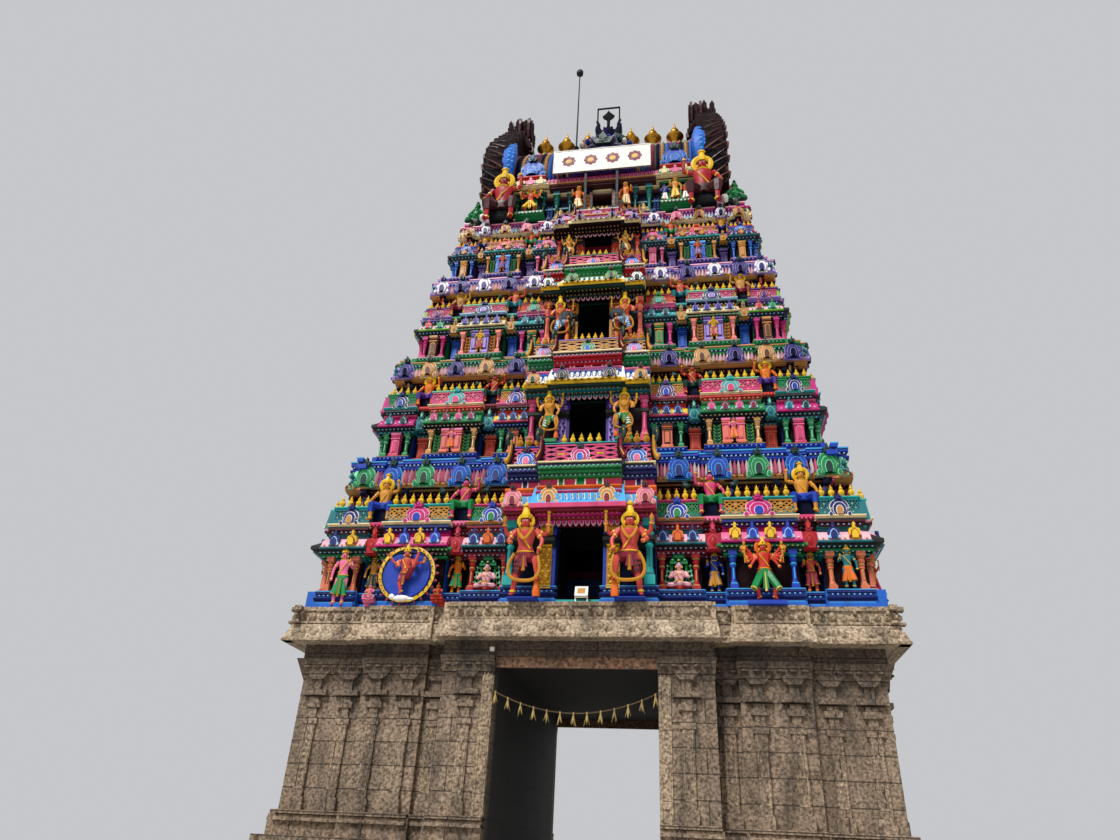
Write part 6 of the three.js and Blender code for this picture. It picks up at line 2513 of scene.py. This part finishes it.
def dress_board():
    """A thin border and a row of rosettes on the bare board."""
    trim = Piece("board_border", "white_board")
    low, high, half, front = 19.93, 20.88, 1.5, 1.96
    face = Face("front")
    for height in (low, high - 0.03):
        lay_bar(
            trim, face, FLAT, 0, 2 * half, height, height + 0.03, front - 0.03, front + 0.012, "sheet_white"
        )
    for side in (-1, 1):
        lay_bar(
            trim, face, FLAT, side * (half - 0.015), 0.03, low, high, front - 0.03, front + 0.012,
            "sheet_white"
        )
    for i in range(4):
        along = (i - 1.5) * 0.68
        trim.lay(
            ROSETTE, face.at(along, front, (low + high) / 2, (0.5, 0.01, 0.5)), core="yellow",
            body="crimson"
        )
    trim.cast()


def dress_ridge_frame():
    """The lotus and the two birds in front of the hanging leaf."""
    group = Piece("ridge_frame_lotus", "dark_stucco")
    seat = Pattern([turned([(0, 0.2), (0.04, 0.24), (0.1, 0.16), (0.2, 0.1), (0.26, 0.14)], 10)])
    group.lay(seat, placed((0, -0.34, 22.95)), body="bottle")
    for i in range(9):
        leaning = placed((0, 0, 0), math.radians(32), "X", (0.2, 0.04, 0.42))
        place = placed((0, -0.34, 23.2), 2 * math.pi * i / 9) @ leaning
        group.lay(FLAME, place, body=("navy", "bottle", "purple")[i % 3], rim="black")
    body = [(0.14, 0, 23.1), (0.24, 0, 23.22), (0.3, 0, 23.36), (0.25, 0, 23.5), (0.33, 0, 23.56)]
    bird = Pattern(
        [
            tube(body, [0.05, 0.1, 0.075, 0.04, 0.02], "body", 8),
            tube([(0.16, 0, 23.16), (0.34, 0.02, 23.06), (0.5, 0.03, 23.02)], [0.07, 0.09, 0.03], "tail", 8)
        ]
    )
    for side in (-1, 1):
        place = placed((0, -0.34, 22.95), size=(1.3 * side, 1.2, 1.8)) @ placed((0, 0, -22.95))
        group.lay(bird, place, body="deep_navy", tail="bottle")
        group.lay(bird, placed((0, 0.16, -0.02)) @ place, body="bottle", tail="deep_navy")
    spade = [(0.03, 23.3), (0.03, 24.0), (0.16, 24.1), (0.21, 24.2), (0.08, 24.32), (0.0, 24.48)]
    leaf = plate(mirrored(spade), 0.36, 0.42, "black")
    group.lay(Pattern([leaf]), Matrix.Identity(4))
    group.cast()


def dress_loudspeakers():
    """Two grey horns: driver, flared bell and rolled rim."""
    outer = [
        (0.0, 0.06), (0.01, 0.082), (0.1, 0.085), (0.12, 0.045), (0.16, 0.042), (0.24, 0.06), (0.32, 0.105),
        (0.38, 0.155), (0.415, 0.186), (0.42, 0.19)
    ]
    inner = [(0.41, 0.182), (0.37, 0.145), (0.31, 0.1), (0.25, 0.05)]
    horn = Pattern(
        [
            turned(outer + inner, 20, "steel"),
            turned([(0.22, 0.03), (0.3, 0.045), (0.31, 0.02)], 12, "dark_steel")
        ]
    )
    arm = Pattern([block((-0.02, -2.73, -0.03), (0.02, -2.6, 0.03), "dark_steel", 0.006)])
    for side, name in ((1, "right"), (-1, "left")):
        piece = Piece(f"loudspeaker_horn_{name}", "painted_steel")
        foot = placed((side * 0.56, 0, 13.56))
        piece.lay(horn, foot @ placed((0, -2.69, 0), side * 0.25) @ placed((0, 0, 0), math.pi / 2, "X"))
        piece.lay(arm, foot)
        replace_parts(piece.cast(), f"loudspeaker_{name}")


def dress_floodlight():
    """The ochre glass of the floodlight, which leans back a little."""
    glass = Piece("floodlight_glass", "white_board")
    middle = placed((0.09, -3.88, 6.16), -0.35, "X")
    glass.lay(FLAT, middle @ placed((0, -0.04, -0.06), size=(0.15, 0.008, 0.12)), body="gold")
    glass.cast()


def dress_gateway_box():
    """The small white box on the course of beams, over the left jamb of the gateway."""
    box = Piece("gateway_white_box", "painted_steel")
    box.lay(FLAT, placed((-1.63, -3.77, 5.0), size=(0.08, 0.12, 0.08)), body="sheet_white")
    box.cast()


def hang_garland():
    """The string across the gateway. The bundles of dry leaves on it are the solids' own."""
    half, high, sag, front = 1.6, 4.3, 0.4, 3.8
    spans = 12
    points = []
    for i in range(spans + 1):
        t = 2 * i / spans - 1
        points.append((t * half, -front, high - sag * (1 - t * t)))
    string = tube(points, 0.006, "string", 6)
    string.name = "garland_rope"
    string.data.name = "garland_rope"
    string.data.materials.clear()
    string.data.materials.append(PAINT["dry_cord"])
    only(string)
    bpy.ops.object.shade_smooth()
    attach(string, "root")
    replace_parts(string, "garland_string")


hang_garland()
dress_board()
dress_ridge_frame()
dress_loudspeakers()
dress_floodlight()
dress_gateway_box()

# Materials of the solids


def cover(node, material):
    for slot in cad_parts[node].material_slots:
        slot.material = material


for number, (s, look) in enumerate(zip(STOREYS, LOOKS)):
    bands = [
        (s.plinth, look["plinth"][0]), (s.soffit, "black"), (s.eave_top, look["corner"]["roll"]),
        (s.shelf, look["corner"]["over"][0]), (s.parapet, look["corner"]["shelf"][0]),
        (s.soffit2, look["upper"][0]), (s.cornice + 0.2, look["cornice"][2]),
        (s.shoulder + 0.1, look["upper"][1])
    ]
    wall_paint = banded_stucco(f"storey{number + 1}_wall_paint", bands)
    for part in ("front_left", "front_right", "back_left", "back_right", "left", "right"):
        cover(f"storey{number + 1}_{part}_wall", wall_paint)
    centre = look["centre"]
    hood = centre["hood"]
    bands = [
        (s.door_top, hood[1]), (s.door_top + 0.1, hood[2]), (s.door_top + 0.2, hood[3]),
        (s.hood_top, hood[4]), (s.balcony - 0.2, centre["ground"]), (s.balcony + 0.1, centre["bands"][1]),
        (s.shoulder, centre["lattice"][1]), (s.slab + 0.01, look["cornice"][4]),
        (s.rail + 0.1, centre["lattice"][1])
    ]
    bands.sort(key=lambda band: band[0])
    cover(f"storey{number + 1}_cornice", banded_stucco(f"storey{number + 1}_hood_paint", bands))
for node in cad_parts:
    if node.startswith("base_"):
        cover(node, GRANITE_CORNICE if node == "base_cornice" else GRANITE_WALL)
    elif node.startswith("neck_"):
        cover(node, PAINT["deep_navy"])
cover(
    "roof_eaves", banded_stucco("roof_eaves_paint", [(19.62, "maroon"), (19.76, "tan"), (20.2, "magenta")])
)
cover(
    "roof_vault",
    banded_stucco("roof_vault_paint", [(22.5, "dark_maroon"), (22.75, "bottle"), (24, "purple")])
)
for side in ("left", "right"):
    cover(f"{side}_gable", PAINT["dark_maroon"])
FITTING_PAINTS = {
    "ridge_frame": "black", "board_posts": "dark_steel", "ridge_rod": "dark_steel", "board": "sheet_white",
    "floodlight": "sheet_white", "leaf_bundles": "dry_leaf"
}
for node, paint in FITTING_PAINTS.items():
    cover(node, PAINT[paint])

# Stage: a pale floor and soft daylight

deselect()
FLOOR_SIZE = 120
bpy.ops.mesh.primitive_plane_add(size=FLOOR_SIZE, location=(0, 0, -0.002))
floor = bpy.context.object
floor.name = "floor"
floor_paint = new_material("studio_floor_pale")
floor_surface = add_node(
    floor_paint, "ShaderNodeBsdfPrincipled", None, {"Base Color": linear("#b4b1ab"), "Roughness": 0.9}
)
finish_material(floor_paint, floor_surface)
floor.data.materials.append(floor_paint)
world = bpy.data.worlds.new("studio")
scene.world = world
world.use_nodes = True
sky = world.node_tree.nodes["Background"]
sky.inputs["Color"].default_value = linear("#f1f3f7")
sky.inputs["Strength"].default_value = 0.64
sun = bpy.data.objects.new("sun", bpy.data.lights.new("sun", "SUN"))
sun.data.energy = 3.3
sun.data.angle = math.radians(20)
sun.rotation_euler = (math.radians(40), 0, math.radians(-24))
scene.collection.objects.link(sun)

for material in list(bpy.data.materials):
    if not material.users:
        bpy.data.materials.remove(material)
